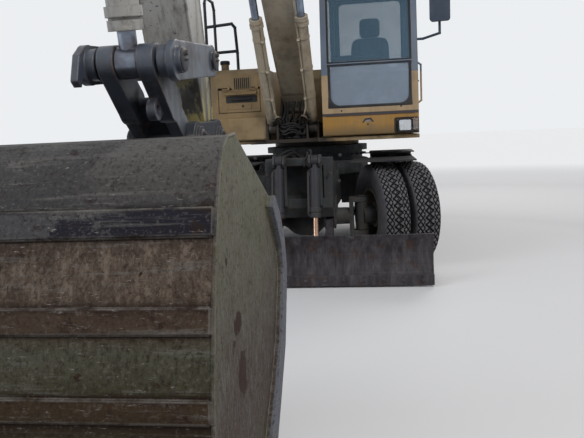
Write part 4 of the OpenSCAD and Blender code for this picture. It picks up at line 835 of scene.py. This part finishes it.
trim = [gasket(cab_front_at, pane(252, 1128, 1630, 2084, 8, 8), pane(284, 1096, 1658, 2070, 96, 6)),
        gasket(cab_front_at, pane(252, 1128, 2096, 3050, 8, 30), pane(272, 1108, 2110, 3026, 6, 60))]
piece("front_window_trim", trim, black_plastic, "upper")
side_trim = [gasket(lambda u, v, out: spot(cab_right - out, u, v),
                    pane(-1016, 366, 1894, 3026, 16, 30), pane(-990, 340, 1920, 3000, 50, 60)),
             gasket(lambda u, v, out: spot(u, cab_rear + out, v),
                    pane(274, 1106, 2154, 3026, 16, 30), pane(300, 1080, 2180, 3000, 50, 60))]
piece("cab_window_trim", side_trim, black_plastic, "upper")

# Latch in the lower front panel, the side lamp and the door's lock
notch = [(-0.060, -0.022), (-0.030, 0.020), (0.034, 0.024), (0.062, -0.018), (0.046, -0.018), (0.026, 0.006),
         (-0.024, 0.003), (-0.044, -0.022)]
rim = bent_plate(notch, 0.004, -Y, X, Z, spot(664, cab_front + 1, 1494), 0.001)
piece("front_latch_rim", [rim], black_paint, "upper")
tongue = [(-0.022, -0.016), (0.024, -0.014), (0.020, 0.004), (-0.018, 0.001)]
tongue = bent_plate(tongue, 0.003, -Y, X, Z, spot(664, cab_front + 1, 1496), 0.001)
piece("front_latch_tongue", [tongue], rod_chrome, "upper")
plugs = [turned(spot(x, cab_front + 0.5, z), -Y, [(0.009, 0), (0.009, 0.003), (0.006, 0.005)], 16)
         for x, z in ((663, 1452), (392, 1602), (1010, 1624))]
piece("front_panel_plugs", plugs, black_plastic, "upper")


def lens_of(name, tone, deep):
    """Coloured lens with a fine grid of prisms, faded in the sun."""
    made, wear, place = finish(name, 0.6, Roughness=0.22)
    cloud = place.noise(14.0, 5.0)
    grid = place.node("ShaderNodeTexWave", {"Vector": place, "Scale": 70.0}, pick=1, bands_direction="Z")
    normal = grid.bump(0.4, 0.002)
    wear(Base_Color=cloud.ramp(0.35, 0.7).blend(tone, deep), Normal=normal)
    return made


amber_lens = lens_of("amber_lens", (0.115, 0.070, 0.045), (0.060, 0.050, 0.045))
red_lens = lens_of("red_lens", (0.28, 0.020, 0.015), (0.12, 0.015, 0.012))
amber = [front_plate(0.058, 0.128, 0.012, 0.022, 1154, cab_front, 1434, 0.004)]
piece("side_lamp", amber, amber_lens, "upper")
surround = [gasket(lambda u, v, out: spot(u, cab_front - out, v), pane(936, 1187, 1348, 1508, 20, 20),
                   pane(966, 1184, 1358, 1498, 16, 16), 14.0, 0.0)]
piece("lamp_surround", surround, black_plastic, "upper")
handle = bent_plate(rounded(0.140, 0.070, 0.014), 0.005, X, Y, Z, spot(cab_left + 1, -960, 1880), 0.002)
lever = spots((1198, -1010, 1885), (1208, -995, 1887), (1208, -925, 1887), (1198, -915, 1885))
piece("cab_door_handle", [handle, tube(lever, 0.007)], black_plastic, "cab_door")
tail_radius = 2350.0
tail = []
for x in (-1060, 1060):
    y = math.sqrt(tail_radius ** 2 - x ** 2)
    out = np.array([x, y, 0.0]) / tail_radius
    at = spot(x, y, 1560) - out * 0.002
    tail.append(bent_plate(rounded(0.085, 0.200, 0.014), 0.020, out, np.cross(Z, out), Z, at, 0.005))
piece("tail_lamps", tail, red_lens, "upper")

# Mirrors
# Three glass panes, each in a moulded shell, that face backwards and show the pale air.

mirror_plastic = rubber("mirror_plastic", (0.044, 0.058, 0.084), (0.082, 0.102, 0.136), 0.5)
dress(mirror_plastic, "mirrors")


def mirror_glass():
    """Silvered glass, nearly sharp, with dust in clouds."""
    made, wear, place = finish("mirror_glass", 0.6, Metallic=1.0)
    smear = place.noise(9.0, 6.0)
    silver = smear.ramp(0.4, 0.8).blend((0.62, 0.66, 0.70), (0.40, 0.41, 0.42))
    wear(Base_Color=silver, Roughness=smear * 0.2 + 0.02)
    return made


silvered = mirror_glass()
for name, x, y, z, wide, tall, lean in (("left", 1410, -1269, 2650, 174, 394, -10),
                                        ("right", -1230, -899, 2210, 124, 334, 8),
                                        ("lower", -1230, -899, 1930, 94, 94, 8)):
    flat = np.array([math.cos(math.radians(lean)), math.sin(math.radians(lean)), 0.0])
    shape = rounded(wide / 1000, tall / 1000, 0.022)
    glass = bent_plate(shape, 0.003, np.cross(Z, flat), flat, Z, spot(x, y, z), 0.001)
    piece("mirror_glass_" + name, [glass], silvered, "upper")

# Hood and side door
# Both are held shut by flush latches of black steel, each with a round key lock.

hood_lock = [(0.034, 0), (0.034, 0.004), (0.028, 0.007), (0.012, 0.007), (0.010, 0.003)]
locks = [turned(spot(x, 540, 2106), Z, hood_lock, 28) for x in (-560, 560)]
piece("hood_locks", locks, black_paint, "hood")
door_lock = [(0.030, 0), (0.030, 0.004), (0.024, 0.007), (0.010, 0.007), (0.008, 0.003)]
piece("left_door_lock", [turned(spot(1214, 640, 1700), X, door_lock, 28)], black_paint, "left_door")

# Headlamps
# Two square work lamps in dark housings, with a ribbed clear lens over a bright bowl.


def lens_finish():
    """Clear pressed lens over a bowl: pale, glossy, and ribbed up and down."""
    made, wear, place = finish("lamp_lens", 0.6, Roughness=0.08)
    ribs = (place.axis(0) * 420.0).math("SINE")
    tone = place.noise(12.0, 5.0).ramp(0.35, 0.7).blend((0.62, 0.66, 0.70), (0.40, 0.42, 0.44))
    wear(Base_Color=tone, Normal=ribs.bump(0.5, 0.003))
    return made


lamp_lens = lens_finish()
dress(black_plastic, "headlamps")
for name, x, y, z in (("left", 1045, -1288, 1425), ("right", -1040, -978, 1400)):
    glass = [front_plate(0.118, 0.108, 0.014, 0.014, x, y, z, 0.004)]
    piece("lamp_lens_" + name, glass, lamp_lens, "upper")

# Seat
# A suspension seat of foam under woven cloth with a high back, sewn in three panels.


def cloth_finish():
    """Woven cloth: two threads crossing on a fine pitch, paler where it is rubbed."""
    made, wear, place = finish("seat_cloth", 0.2, Sheen_Weight=0.3, Sheen_Roughness=0.5)
    cloud = place.noise(6.0, 6.0)
    weft, warp = (place.node("ShaderNodeTexWave", {"Vector": place, "Scale": 260.0}, 1, bands_direction=way)
                  for way in ("X", "Z"))
    thread = weft * 0.5 + warp * 0.5
    rubbed = (thread * 0.12 + cloud.ramp(0.4, 0.7) * 0.7).clip()
    wear(Base_Color=rubbed.blend((0.016, 0.018, 0.024), (0.050, 0.054, 0.062)), Roughness=cloud * 0.2 + 0.75,
         Normal=thread.bump(0.08, 0.0005))
    return made


seat_cloth = cloth_finish()


def pad(centre, half, tilt, square, crown, seams):
    """Stuffed pad: a ball whose sines and cosines are raised to a power below 1, which squares it into a
    rounded box. Its wide face swells by the crown, less towards its rims, and sinks along seams. A seam is
    (index of the direction across it, share of the half size, depth)."""
    lat = np.linspace(-math.pi / 2, math.pi / 2, 40)[:, None]
    lon = np.linspace(0, 2 * math.pi, 64, endpoint=False)[None, :]

    def bow(value):
        return np.sign(value) * np.abs(value) ** square

    sides = (bow(np.cos(lat)) * bow(np.cos(lon)), bow(np.cos(lat)) * bow(np.sin(lon)), bow(np.sin(lat)))
    shape = np.stack(np.broadcast_arrays(*sides), -1)
    face = np.clip(shape[..., 2] * 4, -1, 1)
    swell = crown * (1 - shape[..., 0] ** 2) * (1 - shape[..., 1] ** 2) * face
    for way, share, depth in seams:
        swell = swell - depth * np.exp(-((shape[..., way] - share) / 0.045) ** 2) * face
    local = shape * half
    local[..., 2] += swell
    turn = np.array([[1, 0, 0], [0, math.cos(tilt), -math.sin(tilt)], [0, math.sin(tilt), math.cos(tilt)]])
    return skin(local @ turn.T + centre, ends=True)


seat_middle = 690
upright = math.radians(90 - 5.5)
for name, at, half, tilt, square, crown, seams in (
        ("seat_cushion", (seat_middle, -150, 1718), (0.255, 0.272, 0.088), 0.0, 0.34, 0.020,
         ((0, -0.58, 0.012), (0, 0.58, 0.012), (1, 0.30, 0.008))),
        ("seat_back", (seat_middle, 148, 2175), (0.235, 0.345, 0.066), upright, 0.36, 0.022,
         ((0, -0.60, 0.012), (0, 0.60, 0.012), (1, -0.35, 0.008), (1, 0.35, 0.008))),
        ("seat_headrest", (seat_middle, 188, 2640), (0.125, 0.115, 0.050), upright, 0.42, 0.010,
         ((1, 0.0, 0.004),))):
    made = piece(name, [pad(spot(*at), half, tilt, square, crown, seams)], seat_cloth, "upper",
                 angle=80.0)
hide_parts("seat")
folds = ((1392, 0.35, 0.45), (1420, 0.36, 0.46), (1440, 0.32, 0.42), (1465, 0.36, 0.46), (1488, 0.32, 0.42),
         (1512, 0.36, 0.46), (1535, 0.33, 0.43), (1560, 0.36, 0.46), (1575, 0.42, 0.50), (1634, 0.44, 0.52))
bellows = [spot(seat_middle, -100, z) + np.pad(rounded(wide, deep, 0.05, 4), ((0, 0), (0, 1)))
           for z, wide, deep in folds]
stalks = [tube(spots((x, 168, 2480), (x, 180, 2560)), 0.007) for x in (640, 740)]
piece("seat_frame", [skin(np.stack(bellows), ends=True)] + stalks, black_plastic, "upper")

# Boom, stick and their cylinders
# Box beams of welded plate, once beige, now streaked with grease and speckled with dried splashes.


def stick_skin():
    """Stick paint: pale grey beige, peppered with dark splashes, yellow and streaked black at its foot."""
    made, wear, place = finish("stick_paint", 0.25)
    broad = place.noise(1.6, 5.0)
    blotch = place.noise(7.0, 9.0, 0.65)
    pepper = place.noise(42.0, 5.0, 0.6)
    small = place.noise(95.0, 4.0, 0.6)
    streak = place.noise(5.5, 8.0, 0.7, (4.0, 4.0, 0.35))
    low = (1.80 - place.axis(2) + (blotch - 0.5) * 0.3).ramp(0.0, 0.25)
    yellow = streak.ramp(0.47, 0.53).blend((0.300, 0.245, 0.075), (0.030, 0.028, 0.026))
    dense = broad.ramp(0.42, 0.66) * 0.055
    splash = (pepper + dense).ramp(0.655, 0.680).most((small + dense).ramp(0.665, 0.695))
    rim, soft = edges(place, 0.007)
    tone = coats(
        broad.ramp(0.35, 0.68).blend((0.285, 0.272, 0.250), (0.345, 0.350, 0.355)),
        (low, 0.85, yellow),
        (streak.ramp(0.50, 0.66), 0.60, (0.080, 0.070, 0.062)),
        (blotch.ramp(0.56, 0.66), 0.60, (0.060, 0.050, 0.044)),
        (splash, 0.8, (0.030, 0.026, 0.026)),
        (rim * blotch.ramp(0.40, 0.60), 0.8, (0.070, 0.050, 0.040)))
    normal = (blotch * 0.5 + small * 0.2 - splash * 0.2).bump(0.5, 0.004, soft)
    wear(Base_Color=tone, Roughness=(blotch * 0.3 + 0.38).clip(), Normal=normal)
    return made


stick_paint = stick_skin()
dress(arm_paint, "boom", "boom_barrels", "stick_barrel")
dress(stick_paint, "stick", "bucket_barrel")

boom_back = [(-314, 1841), (-1084, 2702), (-1955, 3600), (-3476, 3692), (-5615, 3767)]
boom_belly = [(-5637, 3493), (-3516, 3209), (-2186, 3079), (-1386, 2381), (-486, 1659)]
stick_rear = [(-5484, 3664), (-5300, 3356), (-5106, 2631), (-4833, 1465)]
stick_front = [(-4979, 1365), (-5208, 2019), (-5530, 2703), (-5701, 3068), (-5905, 3633)]


def bead(start, end, size, ripple):
    """Weld bead: a round rope whose radius swells and shrinks, with so many ripples to a metre."""
    length = np.linalg.norm(end - start)
    run = (end - start) / length
    way = np.linspace(0, 1, max(8, int(length * ripple * 2)))[:, None, None]
    thick = size * (1 + 0.22 * np.abs(np.sin(way * length * ripple * math.pi)))
    grid = start + (end - start) * way + hoop(run, Z if abs(run[2]) < 0.8 else X, 6) * thick
    return skin(grid, ends=True)


for name, body, half, lines, paint in (
        ("boom_welds", "boom", 144, (boom_back, boom_belly), arm_paint),
        ("stick_welds", "stick", 109, (stick_rear, stick_front), stick_paint)):
    runs = [bead(spot(x, *low), spot(x, *high), 0.005, 34.0)
            for x in (arm_middle - half, arm_middle + half)
            for line in lines for low, high in zip(line[:-1], line[1:])]
    piece(name, runs, paint, body)


def on_boom(run, x, lift):
    """Point over the boom's back: a length from the foot along its outline, and a height square to it."""
    line = np.array(boom_back, float)
    steps = np.linalg.norm(np.diff(line, axis=0), axis=1)
    marks = np.concatenate([[0], np.cumsum(steps)])
    leg = int(np.clip(np.searchsorted(marks, run) - 1, 0, len(steps) - 1))
    way = (line[leg + 1] - line[leg]) / steps[leg]
    at = line[leg] + way * (run - marks[leg]) + np.array([way[1], -way[0]]) * lift
    return spot(x, *at)


pipe_lift = 26
pipes, clamps = [], []
for x, last in ((-292, 5900), (-268, 5860), (-72, 3380), (-48, 3340)):
    stops = [120, 1010, 1290, 2250, 2560, *range(3000, last, 400), last]
    pipes.append(tube([on_boom(run, x, pipe_lift) for run in stops], 0.010))
    pipes.append(turned(on_boom(last - 6, x, pipe_lift), -Y, [(0.015, 0), (0.015, 0.028)], 6))
for x, runs in ((-280, (520, 1700, 3100, 4000, 4900, 5700)), (-60, (520, 1700, 3100))):
    for run in runs:
        along = unit(on_boom(run + 10, x, 0) - on_boom(run, x, 0))
        clamps.append(bent_plate(rounded(0.062, 0.030, 0.006), 0.030, along, X, np.cross(along, X),
                                 on_boom(run, x, pipe_lift), 0.002))
        clamps += bolts([on_boom(run + 15, x, 41)], on_boom(run, x, 50) - on_boom(run, x, 20), 0.008, 0.5)
piece("boom_pipes", pipes + clamps, arm_paint, "boom")
loops = []
for x, last, swell in ((-292, 5900, 0), (-268, 5860, 24)):
    way = spots((x - 20, -5640 + swell, 3830), (x - 60, -5790 + swell, 3800), (x - 62, -5880 + swell, 3640),
                (x - 44, -5850 + swell, 3420), (x - 20, -5790 + swell, 3300), (x - 6 + swell, -5740, 3210))
    loops.append(tube([on_boom(last, x, pipe_lift)] + way, 0.0125, 12, 4))
joint_hoses = piece("joint_hoses", loops, hose_rubber)
tuple(spot(-300, -5480, 3780))
tuple(spot(-300, -5790, 3330))
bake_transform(joint_hoses)
by_stick = beside((-2850, 3880), (-6124.9, 4035.8))
feed_start = on_boom(3340, -60, pipe_lift)
way = [by_stick(180, -150, -66), by_stick(190, -151.5, -96), by_stick(280, -155, -112),
       on_boom(3340, -85, 60), feed_start]
stick_feed = piece("stick_cylinder_hose", [tube(way, 0.011)], hose_rubber)
tuple(by_stick(240, -150, -90))
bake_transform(stick_feed)


def mesh_points(name):
    """Corner points of a solid, in metres."""
    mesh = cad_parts[name].data
    flat = np.empty(len(mesh.vertices) * 3, dtype=np.float32)
    mesh.vertices.foreach_get("co", flat)
    return flat.reshape(-1, 3).astype(float)


def pin_ends(name, y, z, size):
    """Keeper plate, bolt and grease nipple on both ends of a pin, at the solid's outermost face there."""
    points = mesh_points(name)
    heart = spot(0, y, z)
    near = points[np.hypot(points[:, 1] - heart[1], points[:, 2] - heart[2]) < size * 1.6]
    plate = [(size * 0.92, 0), (size * 0.92, 0.005), (size * 0.82, 0.008)]
    nipple = [(0.006, 0), (0.006, 0.006), (0.003, 0.008), (0.004, 0.013)]
    made = []
    for side in (-1.0, 1.0):
        out = X * side
        at = np.array([(near[:, 0] * side).max() * side, heart[1], heart[2]])
        made += [turned(at - out * 0.001, out, plate, 28), turned(at + out * 0.007, out, nipple, 10)]
        made += bolts([at + out * 0.007 + Z * size * 0.5], out, 0.010, 0.5)
    return made


for name, y, z, size in (("boom", -5627, 3618, 0.060), ("boom", -2850, 3880, 0.050),
                         ("stick", -6124.9, 4035.8, 0.050), ("stick", -5877.7, 3095, 0.045),
                         ("rocker", -5629.6, 1686.3, 0.050), ("rocker", -5092, 1738, 0.050),
                         ("bucket", -4900, 1380, 0.050), ("bucket", -5260, 1380, 0.050)):
    piece("pin_ends_%s_%d" % (name, -y), pin_ends(name, y, z, size), black_paint, name)

# Linkage
# Cast rocker plates and a cast link between the cylinder and the bucket, black with oil; their blue
# cast is painted sky haze.

# The dark steel carries a blue cast: painted haze of sky light.
link_steel = old_paint("link_steel", (0.044, 0.054, 0.074), (0.082, 0.098, 0.128), (0.020, 0.018, 0.018),
                       (0.110, 0.115, 0.130), rough=0.34, dirty=1.0, worn=0.55, reach=0.3, lip=0.010,
                       gloss=0.5)
dress(link_steel, "rocker", "power_link")

# Bucket
# Rolled front plate between two thick sides, with wear strips, side bars and five teeth welded on.

# Rust pits on the left side plate: back and up in metres, then half length and half height
side_marks = [(spot(0, y, 0)[1], z, long, tall) for y, z, long, tall in (
    (-6019, 0.751, 0.050, 0.042), (-5988, 0.562, 0.062, 0.078), (-6092, 0.705, 0.020, 0.012),
    (-6132, 0.992, 0.014, 0.016))]


def bucket_skin():
    """Bucket steel: the front wall is worn in bands between its strips, from oily grey at the top through a
    blue black strip and brown rust to olive grey, dark along the strips. The sides are olive and grey."""
    made, wear, place = finish("bucket_steel", 0.10)
    across = place.axis(0)
    back = place.axis(1)
    high = place.axis(2)
    cloud = place.noise(2.1, 5.0, 0.6)
    blotch = place.noise(9.0, 10.0, 0.72)
    pits = place.noise(26.0, 6.0, 0.6)
    speck = place.noise(70.0, 6.0, 0.7)
    sweep = place.noise(3.2, 9.0, 0.7, (0.5, 6.0, 8.0))
    drip = place.noise(8.0, 10.0, 0.75, (9.0, 9.0, 1.1))
    hair = place.noise(24.0, 10.0, 0.85, (1.0, 1.0, 0.30))
    fine = place.noise(30.0, 10.0, 0.8, (0.7, 3.0, 4.0))
    grit = place.noise(190.0, 5.0, 0.75)
    level = (high + (blotch - 0.5) * 0.050 + (sweep - 0.5) * 0.030) * (1.0 / 1.4)
    tone = place.node("ShaderNodeValToRGB", {0: level}, stops=[(z / 1.4, colour) for z, colour in (
        (0.05, (0.016, 0.012, 0.008)), (0.50, (0.040, 0.034, 0.018)), (0.552, (0.016, 0.008, 0.004)),
        (0.572, (0.030, 0.020, 0.010)), (0.618, (0.036, 0.022, 0.012)), (0.634, (0.014, 0.006, 0.003)),
        (0.658, (0.040, 0.037, 0.021)), (0.76, (0.058, 0.057, 0.040)), (0.795, (0.052, 0.042, 0.028)),
        (0.812, (0.020, 0.010, 0.006)), (0.826, (0.050, 0.034, 0.023)), (0.872, (0.046, 0.030, 0.020)),
        (0.888, (0.016, 0.007, 0.004)), (0.915, (0.062, 0.044, 0.032)), (1.00, (0.082, 0.061, 0.047)),
        (1.075, (0.046, 0.032, 0.024)), (1.088, (0.024, 0.018, 0.016)), (1.096, (0.007, 0.007, 0.013)),
        (1.166, (0.009, 0.009, 0.016)), (1.178, (0.014, 0.013, 0.013)), (1.195, (0.046, 0.044, 0.044)),
        (1.28, (0.062, 0.058, 0.056)), (1.365, (0.090, 0.088, 0.086)))])
    strip_one = high.ramp(1.088, 1.094) * (1.0 - high.ramp(1.168, 1.174))
    torn = ((0.10 - across) * 1.5 + (blotch - 0.5) * 3.4).ramp(0.44, 0.56)
    top = high.ramp(1.17, 1.20)
    film = (blotch * 0.55 + cloud * 0.45).ramp(0.475, 0.535)
    rusty = high.ramp(0.88, 0.93) * (1.0 - high.ramp(1.05, 1.10))
    olive = high.ramp(0.63, 0.66) * (1.0 - high.ramp(0.79, 0.81))
    beyond = (across + 0.253).math("ABSOLUTE")
    flank = beyond.ramp(0.4592, 0.4596)
    rise = (high + (cloud - 0.5) * 1.0 + (drip - 0.5) * 0.5).ramp(0.45, 1.20)
    side = coats(
        rise.blend((0.056, 0.040, 0.032), (0.118, 0.116, 0.078)),
        (drip.ramp(0.50, 0.62), 0.65, (0.150, 0.152, 0.158)),
        (cloud.ramp(0.50, 0.62), 0.55, (0.060, 0.062, 0.036)),
        (beyond.ramp(0.474, 0.480), 1.0, (0.118, 0.124, 0.146)))
    mark = (pits.ramp(0.655, 0.685) * blotch.ramp(0.44, 0.56)).clip()
    for y, z, long, tall in side_marks:
        far = ((back - y) * (1.0 / long)).math("POWER", 2.0) + ((high - z) * (1.0 / tall)).math("POWER", 2.0)
        mark = mark.most((far + (pits - 0.5) * 3.4 + (blotch - 0.5) * 3.4).ramp(1.10, 0.90) * flank)
    rim, soft = edges(place, 0.010)
    tone = coats(
        tone,
        (torn * strip_one, 0.92, (0.056, 0.054, 0.058)),
        (top * film, 0.60, (0.026, 0.026, 0.030)),
        (rusty * hair.ramp(0.50, 0.60), 0.80, (0.160, 0.126, 0.100)),
        (rusty * hair.ramp(0.48, 0.38), 0.95, (0.020, 0.010, 0.006)),
        (olive * drip.ramp(0.48, 0.60), 0.60, (0.022, 0.020, 0.010)),
        (olive * hair.ramp(0.54, 0.64), 0.60, (0.092, 0.092, 0.072)),
        (flank, 1.0, side),
        (drip.ramp(0.56, 0.66) * (1.0 - flank * 0.5), 0.45, (0.020, 0.012, 0.008)),
        (blotch.ramp(0.57, 0.63) * (1.0 - flank * 0.7), 0.80, (0.018, 0.009, 0.006)),
        (sweep.ramp(0.56, 0.64), 0.40, (0.135, 0.128, 0.120)),
        (fine.ramp(0.60, 0.65), 0.85, (0.30, 0.285, 0.27)),
        (speck.ramp(0.54, 0.62), 0.70, (0.016, 0.011, 0.008)),
        (speck.ramp(0.44, 0.36), 0.35, (0.135, 0.118, 0.104)),
        (grit.ramp(0.55, 0.66), 0.45, (0.012, 0.009, 0.007)),
        (mark, 0.93, (0.022, 0.009, 0.005)),
        (high.ramp(1.398, 1.405) * (1.0 - flank), 1.0, (0.030, 0.034, 0.042)),
        (rim * blotch.ramp(0.40, 0.56), 0.85, (0.20, 0.185, 0.165)))
    relief = blotch * 0.6 + sweep * 0.3 + fine * 0.25 + speck * 0.25 + drip * 0.3 + hair * 0.3 - mark * 0.4
    dull = (blotch * 0.4 + 0.48 - top * 0.12).clip()
    wear(Base_Color=tone, Roughness=dull, Normal=relief.bump(0.9, 0.008, soft))
    return made


bucket_steel = bucket_skin()
dress(bucket_steel, "bucket")

# Edges of the wear strips on the shell, in millimetres: back and up of the upper one, then of the lower one
strip_edges = [(-6193, 1172, -6224, 1092), (-6297, 887.5, -6316.6, 814), (-6364.7, 629.6, -6373.5, 563.6),
               (-6368.8, 474, -6357.3, 404), (-6269, 241.6, -6211.3, 185.5), (-6011.2, 76.5, -5915, 51.2)]
seams = []
for high_y, high_z, low_y, low_z in strip_edges:
    for y, z in ((high_y, high_z), (low_y, low_z)):
        seams.append(bead(spot(-614, y - 4, z), spot(274, y - 4, z), 0.0055, 70.0))
    for x in (-619, 279):
        seams.append(bead(spot(x, high_y - 4, high_z), spot(x, low_y - 4, low_z), 0.0055, 70.0))
piece("bucket_strip_welds", seams, bucket_steel, "bucket")
corners = mesh_points("bucket")
heart = spot(0, -5850, 700)
for name, side in (("left", 1), ("right", -1)):
    rim_x = spot(arm_middle + side * 460, 0, 0)[0]
    flat = corners[np.abs(corners[:, 0] - rim_x) < 0.0006]
    angle = np.degrees(np.arctan2(flat[:, 2] - heart[2], heart[1] - flat[:, 1]))
    front = np.column_stack([angle, flat[:, 1:]])[(angle > -112) & (angle < 88)]
    path = [np.array([rim_x - side * 0.004, y, z]) for _, y, z in np.unique(np.round(front, 4), axis=0)]
    runs = [bead(low, high, 0.0065, 60.0) for low, high in zip(path[:-1], path[1:])
            if np.linalg.norm(high - low) > 0.01]
    piece("bucket_side_weld_" + name, runs, bucket_steel, "bucket")
